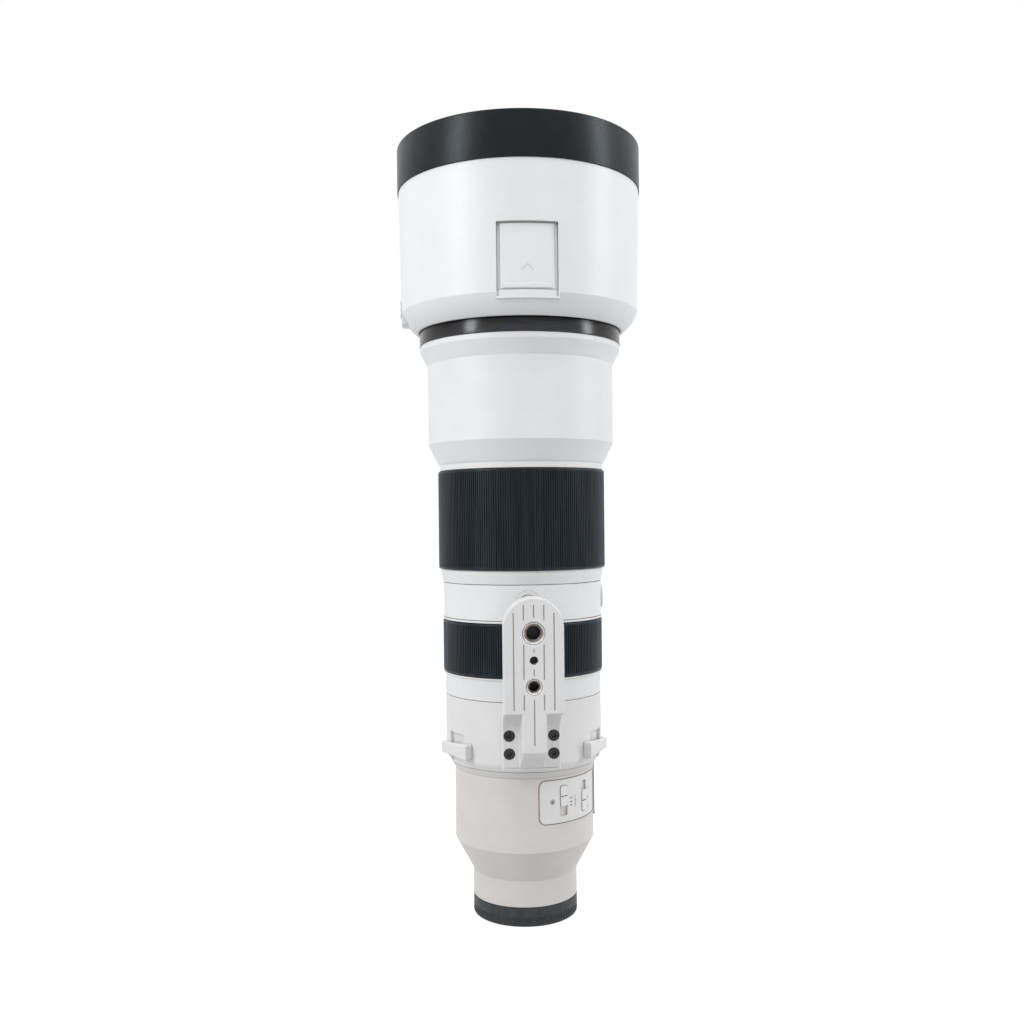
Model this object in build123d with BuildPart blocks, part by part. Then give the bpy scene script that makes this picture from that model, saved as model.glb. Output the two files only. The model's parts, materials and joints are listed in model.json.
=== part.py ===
from build123d import *
import os
from math import asin, atan2, cos, degrees, radians, sin, sqrt

# A white super-telephoto zoom lens that stands on its rear cap with the hood fitted.
# Millimetres. The origin is the centre of the mount flange, +Z runs along the optical
# axis to the front, and the tripod foot points to -Y. A bearing is an angle in degrees
# about the axis: 0 faces the foot (-Y), 90 faces +X, 180 faces +Y.

os.makedirs("parts", exist_ok=True)

# Clearances
ring_gap = 0.3  # along the axis, between a turning ring and its neighbour
side_gap = 0.3  # beside and behind a button, slider or door
journal_gap = 0.06  # radial, of a ring that turns on its journal
slide_gap = 0.08  # radial, of a cell that slides in its tube
seat_gap = 0.05  # radial, of a part seated in its bore
overrun = 2.0  # how far a cut runs past the faces that it opens

# Lengths of the barrel's sections, stacked forward from the mount flange
neck_length = 15.0
rear_cone_length = 19.0
rear_body_length = 42.2
collar_cone_length = 7.5
collar_body_length = 29.7
band_length = 19.0
focus_grip_length = 30.4
mid_barrel_length = 21.5
zoom_skirt_length = 7.8
zoom_grip_length = 57.4
front_step_length = 4.2
front_cone_length = 11.5
front_body_length = 46.5
front_flare_length = 8.5
front_flange_length = 3.0
front_ring_length = 21.0

# Outer radii of the same sections
neck_radius = 30.9
rear_radius = 41.3
collar_radius = 46.4
collar_edge_radius = 41.5
band_radius = 46.4
mid_radius = 47.0
focus_grip_radius = 47.5
zoom_skirt_radius = 48.3
zoom_grip_radius = 49.7
front_step_radius = 48.7
front_cone_radius = 49.4
front_ring_radius = 59.9
front_flange_step = 0.3
front_flange_radius = front_ring_radius - front_flange_step
front_body_step = 4.7
front_body_radius = front_ring_radius - front_body_step

# The nested tubes behind the shells
shell_wall = 2.2
journal_radius = 39.6
journal_bore = 37.7
spine_radius = 43.0
spine_bore = 41.0
cam_radius = 40.2
guide_radius = 38.0
guide_bore = 36.0
chassis_radius = 37.2
chassis_bore = 35.2

# Stations along the axis
z_neck = neck_length
z_rear = z_neck + rear_cone_length
z_journal = z_rear + rear_body_length
z_collar = z_journal + ring_gap
z_collar_body = z_collar + collar_cone_length
z_collar_top = z_collar_body + collar_body_length
z_band = z_collar_top + ring_gap
z_band_top = z_band + band_length
z_focus = z_band_top + ring_gap
z_focus_top = z_focus + focus_grip_length
z_mid = z_focus_top + ring_gap
z_mid_top = z_mid + mid_barrel_length
z_zoom = z_mid_top + ring_gap
z_zoom_grip = z_zoom + zoom_skirt_length
z_zoom_top = z_zoom_grip + zoom_grip_length
z_front = z_zoom_top + ring_gap
z_front_cone = z_front + front_step_length
z_front_body = z_front_cone + front_cone_length
z_flare = z_front_body + front_body_length
z_flange = z_flare + front_flare_length
z_front_ring = z_flange + front_flange_length
z_face = z_front_ring + front_ring_length

# Small trim that the shells share
seam_width = 0.4
seam_depth = 0.5
lip_height = 1.1
lip_rise = 0.35
edge_round = 0.8


def outward(bearing, radius, height):
    """A plane on the lens's side whose normal points away from the axis; its y runs up."""
    turn = radians(bearing)
    return Plane(
        origin=(radius * sin(turn), -radius * cos(turn), height),
        x_dir=(cos(turn), sin(turn), 0),
        z_dir=(sin(turn), -cos(turn), 0),
    )


def lengthwise(bearing):
    """The half plane through the axis at a bearing; its x runs outward and its y runs up."""
    turn = radians(bearing)
    return Plane(origin=(0, 0, 0), x_dir=(sin(turn), -cos(turn), 0), z_dir=(-cos(turn), -sin(turn), 0))


def half_angle(half_width, radius):
    """The bearing at which a half width is reached on a circle."""
    return degrees(asin(half_width / radius))


def turned(outline, mode=Mode.ADD):
    """Turn a closed outline of (radius, height) points about the axis."""
    with BuildSketch(Plane.XZ) as profile:
        with BuildLine():
            Polyline(*outline, close=True)
        make_face()
    revolve(profile.sketch, axis=Axis.Z, mode=mode)


def tube(bore, radius, low, high, mode=Mode.ADD):
    """A plain ring between two heights."""
    turned([(bore, low), (radius, low), (radius, high), (bore, high)], mode)


def rounded_band(bore, radius, low, high, rounding):
    """A ring whose two outer edges are rounded."""
    with BuildSketch(Plane.XZ) as profile:
        with Locations(((bore + radius) / 2, (low + high) / 2)):
            Rectangle(radius - bore, high - low)
        fillet(profile.vertices().group_by(Axis.X)[-1], rounding)
    revolve(profile.sketch, axis=Axis.Z)


def sector(bore, radius, low, high, start, end, mode=Mode.ADD):
    """A block bent round the axis between two bearings."""
    with BuildSketch(lengthwise(start)) as profile:
        with Locations(((bore + radius) / 2, (low + high) / 2)):
            Rectangle(radius - bore, high - low)
    revolve(profile.sketch, axis=Axis.Z, revolution_arc=end - start, mode=mode)


def curved_plate(bore, radius, low, high, start, end, corner):
    """A plate bent round the axis, with rounded corners."""
    with BuildPart() as plate:
        sector(bore, radius, low, high, start, end)
        fillet(plate.edges().filter_by(GeomType.LINE).filter_by(Axis.Z, reverse=True), corner)
    return plate.part


def radial_pin(bearing, height, radius, start, end, mode=Mode.ADD):
    """A round pin or hole along a radius of the lens, between two distances from the axis."""
    with BuildSketch(outward(bearing, start, height)) as outline:
        Circle(radius)
    extrude(outline.sketch, amount=end - start, mode=mode)


def radial_pad(bearing, height, width, length, corner, start, end, mode=Mode.ADD):
    """A rounded rectangular pad or pocket along a radius of the lens."""
    with BuildSketch(outward(bearing, start, height)) as outline:
        RectangleRounded(width, length, corner)
    extrude(outline.sketch, amount=end - start, mode=mode)


def surface_rise(radius, bulge, at):
    """How far a glass surface stands above its edge at a distance from the axis."""
    curve = (radius**2 + bulge**2) / (2 * abs(bulge))
    rise = abs(bulge) - curve + sqrt(curve**2 - at**2)
    return rise if bulge > 0 else -rise


def glass(radius, low, edge, low_bulge, high_bulge):
    """A round glass with two spherical faces; a negative bulge is a hollow face."""
    with BuildSketch(Plane.XZ) as profile:
        with BuildLine():
            Line((0, low - low_bulge), (0, low + edge + high_bulge))
            TangentArc((0, low + edge + high_bulge), (radius, low + edge), tangent=(1, 0))
            Line((radius, low + edge), (radius, low))
            TangentArc((0, low - low_bulge), (radius, low), tangent=(1, 0))
        make_face()
    revolve(profile.sketch, axis=Axis.Z)


def finish(part, name):
    """Label a finished piece and write it."""
    part.label = name
    export_step(part, f"parts/{name}.step")


# Bayonet mount: a steel ring with a register barrel and three claws
mount_radius = 29.0
mount_flange = 2.4
register_radius = 23.0
register_bore = 21.5
register_length = 4.8
claw_radius = 24.8
claw_thickness = 1.8
claw_arc = 60.0
claw_bearings = (60.0, 180.0, 300.0)
mount_screw_circle = 26.2
mount_screw_bearings = (25.0, 120.0, 205.0, 300.0)
mount_screw_radius = 0.95
mount_screw_head = 1.8
mount_screw_head_height = 1.1
mount_screw_length = 5.6
mount_ledge = 4.0
mount_ledge_bore = 24.4
z_cell_seat = mount_flange + mount_ledge

with BuildPart() as mount_ring:
    turned([
        (register_bore, -register_length),
        (register_radius, -register_length),
        (register_radius, 0),
        (mount_radius, 0),
        (mount_radius, mount_flange),
        (register_bore, mount_flange),
    ])
    for bearing in claw_bearings:
        claw_top = claw_thickness - register_length
        start = bearing - claw_arc / 2
        sector(register_radius - seat_gap, claw_radius, -register_length, claw_top, start, start + claw_arc)
    for bearing in mount_screw_bearings:
        spot = lengthwise(bearing).x_dir * mount_screw_circle
        with BuildSketch(Plane.XY):
            with Locations((spot.X, spot.Y)):
                Circle(mount_screw_radius + seat_gap)
        extrude(amount=mount_flange, mode=Mode.SUBTRACT)
        with BuildSketch(Plane.XY):
            with Locations((spot.X, spot.Y)):
                Circle(mount_screw_head + seat_gap)
        extrude(amount=mount_screw_head_height, mode=Mode.SUBTRACT)
finish(mount_ring.part, "mount_ring")

with BuildPart() as mount_screws:
    for bearing in mount_screw_bearings:
        spot = lengthwise(bearing).x_dir * mount_screw_circle
        with BuildSketch(Plane.XY):
            with Locations((spot.X, spot.Y)):
                Circle(mount_screw_head)
        extrude(amount=mount_screw_head_height)
        with BuildSketch(Plane.XY.offset(mount_screw_head_height)):
            with Locations((spot.X, spot.Y)):
                Circle(mount_screw_radius)
        extrude(amount=mount_screw_length - mount_screw_head_height)
        with BuildSketch(Plane.XY):
            with Locations(Location((spot.X, spot.Y, 0), bearing)):
                Rectangle(mount_screw_head, mount_screw_head / 4)
        extrude(amount=mount_screw_head_height / 2, mode=Mode.SUBTRACT)
finish(mount_screws.part, "mount_screws")

# Contact block inside the register barrel, on the foot's side
contact_depth = 3.4
contact_height = 2.6
contact_bore = 17.9
contact_half_arc = 32.0

with BuildPart() as contact_block:
    sector(
        contact_bore, register_bore - seat_gap, -contact_height, contact_depth,
        -contact_half_arc, contact_half_arc,
    )
finish(contact_block.part, "contact_block")

# Rear cell and its glass
rear_cell_radius = 24.0
rear_cell_length = 20.0
rear_cell_flange = 2.0
rear_glass_radius = 18.9
rear_glass_seat = 5.6
baffle_radius = 17.6
baffle_bore = 16.2
baffle_length = 5.4
z_rear_cell_top = z_cell_seat + rear_cell_length
z_rear_glass = z_cell_seat + rear_glass_seat
rear_cell_reach = neck_radius - shell_wall - side_gap

with BuildPart() as rear_cell:
    turned([
        (baffle_bore, z_cell_seat - baffle_length),
        (baffle_radius, z_cell_seat - baffle_length),
        (baffle_radius, z_cell_seat),
        (rear_cell_reach, z_cell_seat),
        (rear_cell_reach, z_cell_seat + rear_cell_flange),
        (rear_cell_radius, z_cell_seat + rear_cell_flange),
        (rear_cell_radius, z_rear_cell_top),
        (rear_glass_radius + seat_gap, z_rear_cell_top),
        (rear_glass_radius + seat_gap, z_rear_glass),
        (baffle_bore, z_rear_glass),
    ])
finish(rear_cell.part, "rear_cell")

rear_glass_edge = 6.0
rear_glass_hollow = 1.5
rear_glass_bulge = 4.0

with BuildPart() as rear_glass:
    glass(rear_glass_radius, z_rear_glass, rear_glass_edge, -rear_glass_hollow, rear_glass_bulge)
finish(rear_glass.part, "rear_glass")

# Circuit board, a ring that lies on the rear cell
board_bore = 20.0
board_thickness = 1.6
rear_cone_bore = neck_radius - shell_wall + (rear_radius - neck_radius) * (
    (z_rear_cell_top - z_neck) / rear_cone_length
)
chip_size = 6.0
chip_height = 1.2
chip_bearings = (45.0, 135.0, 225.0, 315.0)

with BuildPart() as main_board:
    tube(board_bore, rear_cone_bore - 2 * shell_wall / 3, z_rear_cell_top, z_rear_cell_top + board_thickness)
    for bearing in chip_bearings:
        spot = lengthwise(bearing).x_dir * (board_bore + rear_cone_bore) / 2
        with BuildSketch(Plane.XY.offset(z_rear_cell_top + board_thickness)):
            with Locations(Location((spot.X, spot.Y, 0), bearing)):
                Rectangle(chip_size, chip_size)
        extrude(amount=chip_height)
finish(main_board.part, "main_board")

# Rear barrel: neck, cone, body and the journal that the collar turns on
chassis_ledge = 2.0
chassis_ledge_bore = 34.0
z_chassis = z_rear + chassis_ledge
panel_seam = 0.15

# Switch panels: two curved plates set into the rear barrel
panel_thickness = 1.2
panel_floor = rear_radius - panel_thickness
panel_a_start = 7.5
panel_a_end = 74.6
panel_a_rise = 15.7
panel_a_height = 24.8
panel_a_corner = 4.0
panel_b_start = 75.2
panel_b_end = 150.0
panel_b_rise = 11.7
panel_b_height = 29.0
panel_b_step = 0.8
panel_b_corner = 5.0
panel_a_low = z_rear + panel_a_rise
panel_b_low = z_rear + panel_b_rise

# Slide switches: name, bearing, panel, and 1 for up or -1 for down at rest
slot_width = 5.2
slot_length = 17.7
slot_corner = 1.6
knob_length = 11.7
knob_rise = 0.45
switch_a_middle = panel_a_low + panel_a_height / 2
switch_b_middle = panel_b_low + panel_b_height / 2
switch_travel = slot_length - knob_length - 2 * side_gap
switches = (
    ("focus_mode_switch", 29.0, switch_a_middle, rear_radius, 1),
    ("focus_limit_switch", 52.5, switch_a_middle, rear_radius, -1),
    ("stabiliser_switch", 99.0, switch_b_middle, rear_radius + panel_b_step, 1),
    ("stabiliser_mode_switch", 124.0, switch_b_middle, rear_radius + panel_b_step, -1),
)

# Panel screws: bearing, height and the radius of the face that they sit in
panel_screw_radius = 1.5
panel_screw_depth = 0.8
panel_screws_at = (
    (18.8, switch_a_middle, rear_radius),
    (143.5, switch_b_middle, rear_radius + panel_b_step),
)


def seam_angle(radius):
    """The bearing that one panel seam takes up."""
    return half_angle(panel_seam, radius)


with BuildPart() as rear_barrel:
    turned([
        (mount_radius + seat_gap, 0),
        (neck_radius, 0),
        (neck_radius, z_neck),
        (rear_radius, z_rear),
        (rear_radius, z_journal),
        (journal_radius, z_journal),
        (journal_radius, z_band),
        (journal_bore, z_band),
        (journal_bore, z_journal - shell_wall),
        (rear_radius - shell_wall, z_journal - 2 * shell_wall),
        (rear_radius - shell_wall, z_chassis),
        (chassis_ledge_bore, z_chassis),
        (chassis_ledge_bore, z_rear),
        (rear_radius - shell_wall, z_rear),
        (neck_radius - shell_wall, z_neck),
        (neck_radius - shell_wall, z_cell_seat),
        (mount_ledge_bore, z_cell_seat),
        (mount_ledge_bore, mount_flange),
        (mount_radius + seat_gap, mount_flange),
    ])
    for bearing in mount_screw_bearings:
        spot = lengthwise(bearing).x_dir * mount_screw_circle
        with BuildSketch(Plane.XY.offset(mount_flange)):
            with Locations((spot.X, spot.Y)):
                Circle(mount_screw_radius + seat_gap)
        extrude(amount=mount_ledge, mode=Mode.SUBTRACT)
    add(curved_plate(
        panel_floor, rear_radius + overrun, panel_a_low - panel_seam,
        panel_a_low + panel_a_height + panel_seam, panel_a_start - seam_angle(rear_radius),
        panel_b_start, panel_a_corner,
    ), mode=Mode.SUBTRACT)
    add(curved_plate(
        panel_floor, rear_radius + overrun, panel_b_low - panel_seam,
        panel_b_low + panel_b_height + panel_seam, panel_b_start - seam_angle(rear_radius),
        panel_b_end + seam_angle(rear_radius), panel_b_corner,
    ), mode=Mode.SUBTRACT)
finish(rear_barrel.part, "rear_barrel")


def cut_panel(face_radius, middle):
    """Cut the slots and the screw seat of the panel whose face and middle are given."""
    for _, bearing, height, face, _ in switches:
        if face == face_radius:
            radial_pad(
                bearing, height, slot_width, slot_length, slot_corner,
                panel_floor - overrun, face + overrun, Mode.SUBTRACT,
            )
    for bearing, height, face in panel_screws_at:
        if face == face_radius:
            radial_pin(
                bearing, height, panel_screw_radius + seat_gap,
                face - panel_screw_depth, face + overrun, Mode.SUBTRACT,
            )


with BuildPart() as switch_panel_a:
    add(curved_plate(
        panel_floor, rear_radius, panel_a_low, panel_a_low + panel_a_height,
        panel_a_start, panel_a_end, panel_a_corner,
    ))
    cut_panel(rear_radius, switch_a_middle)
finish(switch_panel_a.part, "switch_panel_a")

with BuildPart() as switch_panel_b:
    add(curved_plate(
        panel_floor, rear_radius + panel_b_step, panel_b_low, panel_b_low + panel_b_height,
        panel_b_start, panel_b_end, panel_b_corner,
    ))
    cut_panel(rear_radius + panel_b_step, switch_b_middle)
finish(switch_panel_b.part, "switch_panel_b")

with BuildPart() as panel_screws:
    for bearing, height, face in panel_screws_at:
        radial_pin(bearing, height, panel_screw_radius, face - panel_screw_depth, face)
        with BuildSketch(outward(bearing, face, height)):
            for angle in (0, 90):
                with Locations(Rotation(0, 0, angle)):
                    Rectangle(panel_screw_radius, panel_screw_radius / 4)
        extrude(amount=-panel_screw_depth / 2, mode=Mode.SUBTRACT)
finish(panel_screws.part, "panel_screws")


def slide_switch(bearing, middle, face, side):
    """A slide switch's knob, with a groove across its middle."""
    height = middle + side * switch_travel / 2
    width = slot_width - 2 * side_gap
    with BuildPart() as knob:
        radial_pad(
            bearing, height, width, knob_length, slot_corner - side_gap,
            panel_floor + side_gap, face + knob_rise,
        )
        with BuildSketch(outward(bearing, face + knob_rise, height)):
            Rectangle(width + overrun, seam_width)
        extrude(amount=-knob_rise / 2, mode=Mode.SUBTRACT)
    return knob.part


for name, bearing, middle, face, side in switches:
    finish(slide_switch(bearing, middle, face, side), name)

# Rear chassis: a tube on the rear barrel's ledge that carries the rods and the frame
chassis_foot = 2.0
chassis_foot_bore = 28.0

with BuildPart() as rear_chassis:
    turned([
        (chassis_foot_bore, z_chassis),
        (rear_radius - shell_wall - slide_gap, z_chassis),
        (rear_radius - shell_wall - slide_gap, z_chassis + chassis_foot),
        (chassis_radius, z_chassis + chassis_foot),
        (chassis_radius, z_band),
        (chassis_bore, z_band),
        (chassis_bore, z_chassis + chassis_foot),
        (chassis_foot_bore, z_chassis + chassis_foot),
    ])
finish(rear_chassis.part, "rear_chassis")

# Stabiliser: a frame under the spine's flange and a cell that shifts across the axis
frame_height = 10.0
frame_floor = 1.5
frame_bore = 24.5
stabiliser_radius = 25.7
stabiliser_shift = 1.2
stabiliser_height = 7.0
stabiliser_glass_radius = 20.4
stabiliser_shoulder = 18.8
stabiliser_seat = 1.4
stabiliser_edge = 4.5
stabiliser_bulge = 2.2
frame_recess = stabiliser_radius + stabiliser_shift + side_gap
z_frame = z_band - frame_height
z_stabiliser = z_frame + frame_floor + side_gap

with BuildPart() as stabiliser_frame:
    turned([
        (frame_bore, z_frame),
        (chassis_bore - seat_gap, z_frame),
        (chassis_bore - seat_gap, z_band),
        (frame_recess, z_band),
        (frame_recess, z_frame + frame_floor),
        (frame_bore, z_frame + frame_floor),
    ])
finish(stabiliser_frame.part, "stabiliser_frame")

with BuildPart() as stabiliser_cell:
    turned([
        (stabiliser_shoulder, z_stabiliser),
        (stabiliser_radius, z_stabiliser),
        (stabiliser_radius, z_stabiliser + stabiliser_height),
        (stabiliser_glass_radius + seat_gap, z_stabiliser + stabiliser_height),
        (stabiliser_glass_radius + seat_gap, z_stabiliser + stabiliser_seat),
        (stabiliser_shoulder, z_stabiliser + stabiliser_seat),
    ])
finish(stabiliser_cell.part, "stabiliser_cell")

with BuildPart() as stabiliser_glass:
    glass(
        stabiliser_glass_radius, z_stabiliser + stabiliser_seat, stabiliser_edge,
        -stabiliser_bulge / 2, stabiliser_bulge,
    )
finish(stabiliser_glass.part, "stabiliser_glass")

# Focus group: a cell that slides on two rods, driven by linear motors
rod_radius = 1.5
rod_circle = 32.0
rod_bearings = (90.0, 270.0)
sleeve_radius = 2.8
focus_rest = 22.0
focus_cell_length = 10.0
focus_cell_radius = 28.5
focus_glass_radius = 22.9
focus_shoulder = 21.0
focus_seat = 2.0
focus_edge = 4.0
focus_bulge = 3.0
arm_width = 4.0
z_focus_cell = z_chassis + chassis_foot + focus_rest

with BuildPart() as focus_rods:
    for bearing in rod_bearings:
        spot = lengthwise(bearing).x_dir * rod_circle
        with BuildSketch(Plane.XY.offset(z_chassis + chassis_foot)):
            with Locations((spot.X, spot.Y)):
                Circle(rod_radius)
        extrude(amount=z_frame - z_chassis - chassis_foot)
finish(focus_rods.part, "focus_rods")

with BuildPart() as focus_cell:
    with BuildSketch(Plane.XY.offset(z_focus_cell)):
        Circle(focus_cell_radius)
        Rectangle(2 * rod_circle, arm_width)
        for bearing in rod_bearings:
            spot = lengthwise(bearing).x_dir * rod_circle
            with Locations((spot.X, spot.Y)):
                Circle(sleeve_radius)
                Circle(rod_radius + journal_gap, mode=Mode.SUBTRACT)
        Circle(focus_shoulder, mode=Mode.SUBTRACT)
    extrude(amount=focus_cell_length)
    tube(
        focus_shoulder - overrun, focus_glass_radius + seat_gap,
        z_focus_cell + focus_seat, z_focus_cell + focus_cell_length, Mode.SUBTRACT,
    )
finish(focus_cell.part, "focus_cell")

with BuildPart() as focus_glass:
    glass(focus_glass_radius, z_focus_cell + focus_seat, focus_edge, -focus_bulge / 2, focus_bulge)
finish(focus_glass.part, "focus_glass")

# Spine: the main barrel, whose flange closes the journal and carries everything ahead
spine_flange = 4.0
spine_flange_radius = 44.35
front_hub_length = 10.7
z_spine = z_band + spine_flange
z_spine_top = z_front + front_hub_length

# The drive key that ties the zoom ring to the cam barrel, and its window in the spine
zoom_turn = 75.0
key_bearing = 100.0
key_width = 6.0
key_height = 5.8
key_rise = 1.2
key_reach = 46.0
z_key = z_zoom + key_rise
key_half_arc = half_angle(key_width / 2, spine_bore)

with BuildPart() as main_barrel:
    turned([
        (chassis_ledge_bore, z_band),
        (spine_flange_radius, z_band),
        (spine_flange_radius, z_spine),
        (spine_radius, z_spine),
        (spine_radius, z_spine_top),
        (spine_bore, z_spine_top),
        (spine_bore, z_spine),
        (chassis_ledge_bore, z_spine),
    ])
    window_play = half_angle(side_gap + seat_gap, spine_bore)
    sector(
        spine_bore - overrun, spine_radius + overrun, z_key - side_gap, z_key + key_height + side_gap,
        key_bearing - key_half_arc - window_play,
        key_bearing + zoom_turn + key_half_arc + window_play, Mode.SUBTRACT,
    )
finish(main_barrel.part, "main_barrel")

with BuildPart() as zoom_key:
    radial_pad(
        key_bearing, z_key + key_height / 2, key_width, key_height, edge_round,
        guide_radius + side_gap, key_reach,
    )
finish(zoom_key.part, "zoom_key")

# Iris: a channel ring with a stack of open blades, each an arc of thin sheet
iris_length = 13.0
iris_bore = 26.0
iris_channel = 34.0
iris_plate = 1.5
blade_count = 9
blade_thickness = 0.5
blade_arc = 100.0
blade_bore = 26.6
blade_radius = 33.4

with BuildPart() as iris_housing:
    turned([
        (iris_bore, z_spine),
        (guide_bore - seat_gap, z_spine),
        (guide_bore - seat_gap, z_spine + iris_length),
        (iris_bore, z_spine + iris_length),
        (iris_bore, z_spine + iris_length - iris_plate),
        (iris_channel, z_spine + iris_length - iris_plate),
        (iris_channel, z_spine + iris_plate),
        (iris_bore, z_spine + iris_plate),
    ])
finish(iris_housing.part, "iris_housing")

blade_pitch = (iris_length - 2 * iris_plate) / blade_count

with BuildPart() as iris_blades:
    for index in range(blade_count):
        blade_low = z_spine + iris_plate + index * blade_pitch
        blade_start = index * 360 / blade_count
        sector(
            blade_bore, blade_radius, blade_low, blade_low + blade_thickness,
            blade_start, blade_start + blade_arc,
        )
finish(iris_blades.part, "iris_blades")

# Zoom groups: cells that slide in the guide barrel, driven by rollers in cam slots.
# At rest the lens is at its short end; the first group then moves back and the second
# moves forward.
roller_radius = 2.9
roller_play = 0.1
roller_root = 33.0
roller_inset = 0.1
slot_margin = roller_radius + side_gap
cell_radius = guide_bore - slide_gap
front_group_rest = 118.0
front_group_travel = 50.0
front_group_length = 26.0
front_group_bearings = (60.0, 180.0, 300.0)
rear_group_rest = 22.0
rear_group_travel = 20.0
rear_group_length = 18.0
rear_group_bearings = (0.0, 120.0, 240.0)
front_glass_bore = 31.0
rear_group_bore = 24.0
cell_shoulder = 2.0
cell_seat = 3.0
z_front_group = z_spine + front_group_rest
z_rear_group = z_spine + rear_group_rest
z_front_rollers = z_front_group + front_group_length / 2
z_rear_rollers = z_rear_group + rear_group_length / 2


def zoom_cell(low, length, bore, bearings):
    """A zoom group's cell: a thick ring with a shoulder for its glass and three roller seats."""
    with BuildPart() as cell:
        turned([
            (bore - cell_shoulder, low),
            (cell_radius, low),
            (cell_radius, low + length),
            (bore, low + length),
            (bore, low + cell_seat),
            (bore - cell_shoulder, low + cell_seat),
        ])
        for bearing in bearings:
            radial_pin(
                bearing, low + length / 2, roller_radius + seat_gap,
                roller_root, cell_radius + overrun, Mode.SUBTRACT,
            )
    return cell.part


def zoom_rollers(height, bearings):
    """Three rollers that reach from a cell through the guide barrel into the cam barrel."""
    with BuildPart() as rollers:
        for bearing in bearings:
            radial_pin(bearing, height, roller_radius, roller_root, cam_radius - roller_inset)
    return rollers.part


finish(
    zoom_cell(z_front_group, front_group_length, front_glass_bore, front_group_bearings), "zoom_cell_front",
)
finish(zoom_cell(z_rear_group, rear_group_length, rear_group_bore, rear_group_bearings), "zoom_cell_rear")
finish(zoom_rollers(z_front_rollers, front_group_bearings), "zoom_rollers_front")
finish(zoom_rollers(z_rear_rollers, rear_group_bearings), "zoom_rollers_rear")

zoom_glass_edge = 8.0
zoom_glass_bulge = 4.0

with BuildPart() as zoom_glass_front:
    glass(
        front_glass_bore - seat_gap, z_front_group + cell_seat, zoom_glass_edge,
        -zoom_glass_bulge / 2, zoom_glass_bulge,
    )
finish(zoom_glass_front.part, "zoom_glass_front")

with BuildPart() as zoom_glass_rear:
    glass(
        rear_group_bore - seat_gap, z_rear_group + cell_seat, zoom_glass_edge,
        -zoom_glass_bulge / 2, zoom_glass_bulge,
    )
finish(zoom_glass_rear.part, "zoom_glass_rear")

# Front barrel stations that the guide and cam barrels reach up to
front_ledge_rise = 19.0
front_ledge = 3.0
z_front_ledge = z_front_body + front_ledge_rise
guide_top_inset = 1.0
z_guide_top = z_front_ledge + front_ledge - guide_top_inset

# Cam barrel limits, and the shoulder of the guide barrel that it runs on
cam_margin = 8.0
cam_shoulder = 2.0
cam_shoulder_radius = 40.0
z_cam = z_rear_rollers - cam_margin
z_cam_top = z_front_rollers + cam_margin


def straight_slot(bearing, low, travel):
    """Cut one straight roller slot through the guide barrel."""
    radial_pad(
        bearing, low + travel / 2, 2 * (roller_radius + roller_play), travel + 2 * slot_margin,
        roller_radius, guide_bore - overrun, cam_shoulder_radius + overrun, Mode.SUBTRACT,
    )


def cam_slot(low, travel, lefthand):
    """A cutter along a helix that starts at +X: a slot of constant pitch for one roller."""
    radius = (guide_radius + cam_radius) / 2
    slope = atan2(travel, radians(zoom_turn) * radius)
    extra_turn = degrees(slot_margin * cos(slope) / radius)
    extra_rise = slot_margin * sin(slope)
    turn = zoom_turn + 2 * extra_turn
    height = travel + 2 * extra_rise
    with BuildPart() as cutter:
        with BuildLine(Plane.XY.offset(low - extra_rise)) as track:
            Helix(pitch=height * 360 / turn, height=height, radius=radius, lefthand=lefthand)
        with BuildSketch(Plane(origin=track.line @ 0, x_dir=(1, 0, 0), z_dir=track.line % 0)):
            Rectangle(cam_radius - guide_radius + 2 * overrun, 2 * (roller_radius + roller_play))
        sweep(path=track.line, is_frenet=True)
    lead = -extra_turn if not lefthand else extra_turn
    return cutter.part.rotate(Axis.Z, lead - 90)


with BuildPart() as guide_barrel:
    turned([
        (guide_bore, z_spine),
        (guide_radius, z_spine),
        (guide_radius, z_cam - ring_gap - cam_shoulder),
        (cam_shoulder_radius, z_cam - ring_gap - cam_shoulder),
        (cam_shoulder_radius, z_cam - ring_gap),
        (guide_radius, z_cam - ring_gap),
        (guide_radius, z_guide_top),
        (guide_bore, z_guide_top),
    ])
    for bearing in front_group_bearings:
        straight_slot(bearing, z_front_rollers - front_group_travel, front_group_travel)
    for bearing in rear_group_bearings:
        straight_slot(bearing, z_rear_rollers, rear_group_travel)
finish(guide_barrel.part, "guide_barrel")

front_cam = cam_slot(z_front_rollers - front_group_travel, front_group_travel, False)
rear_cam = cam_slot(z_rear_rollers, rear_group_travel, True)

with BuildPart() as cam_barrel:
    tube(guide_radius + journal_gap, cam_radius, z_cam, z_cam_top)
    for bearing in front_group_bearings:
        add(front_cam.rotate(Axis.Z, bearing - zoom_turn), mode=Mode.SUBTRACT)
    for bearing in rear_group_bearings:
        add(rear_cam.rotate(Axis.Z, bearing), mode=Mode.SUBTRACT)
    radial_pad(
        key_bearing, z_key + key_height / 2, key_width + 2 * seat_gap, key_height + 2 * seat_gap,
        edge_round, guide_bore, cam_radius + overrun, Mode.SUBTRACT,
    )
finish(cam_barrel.part, "cam_barrel")

# Plain band between the collar and the focus ring
band_bore = spine_flange_radius + seat_gap
band_web = 3.0
band_seam = 14.0

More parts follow.
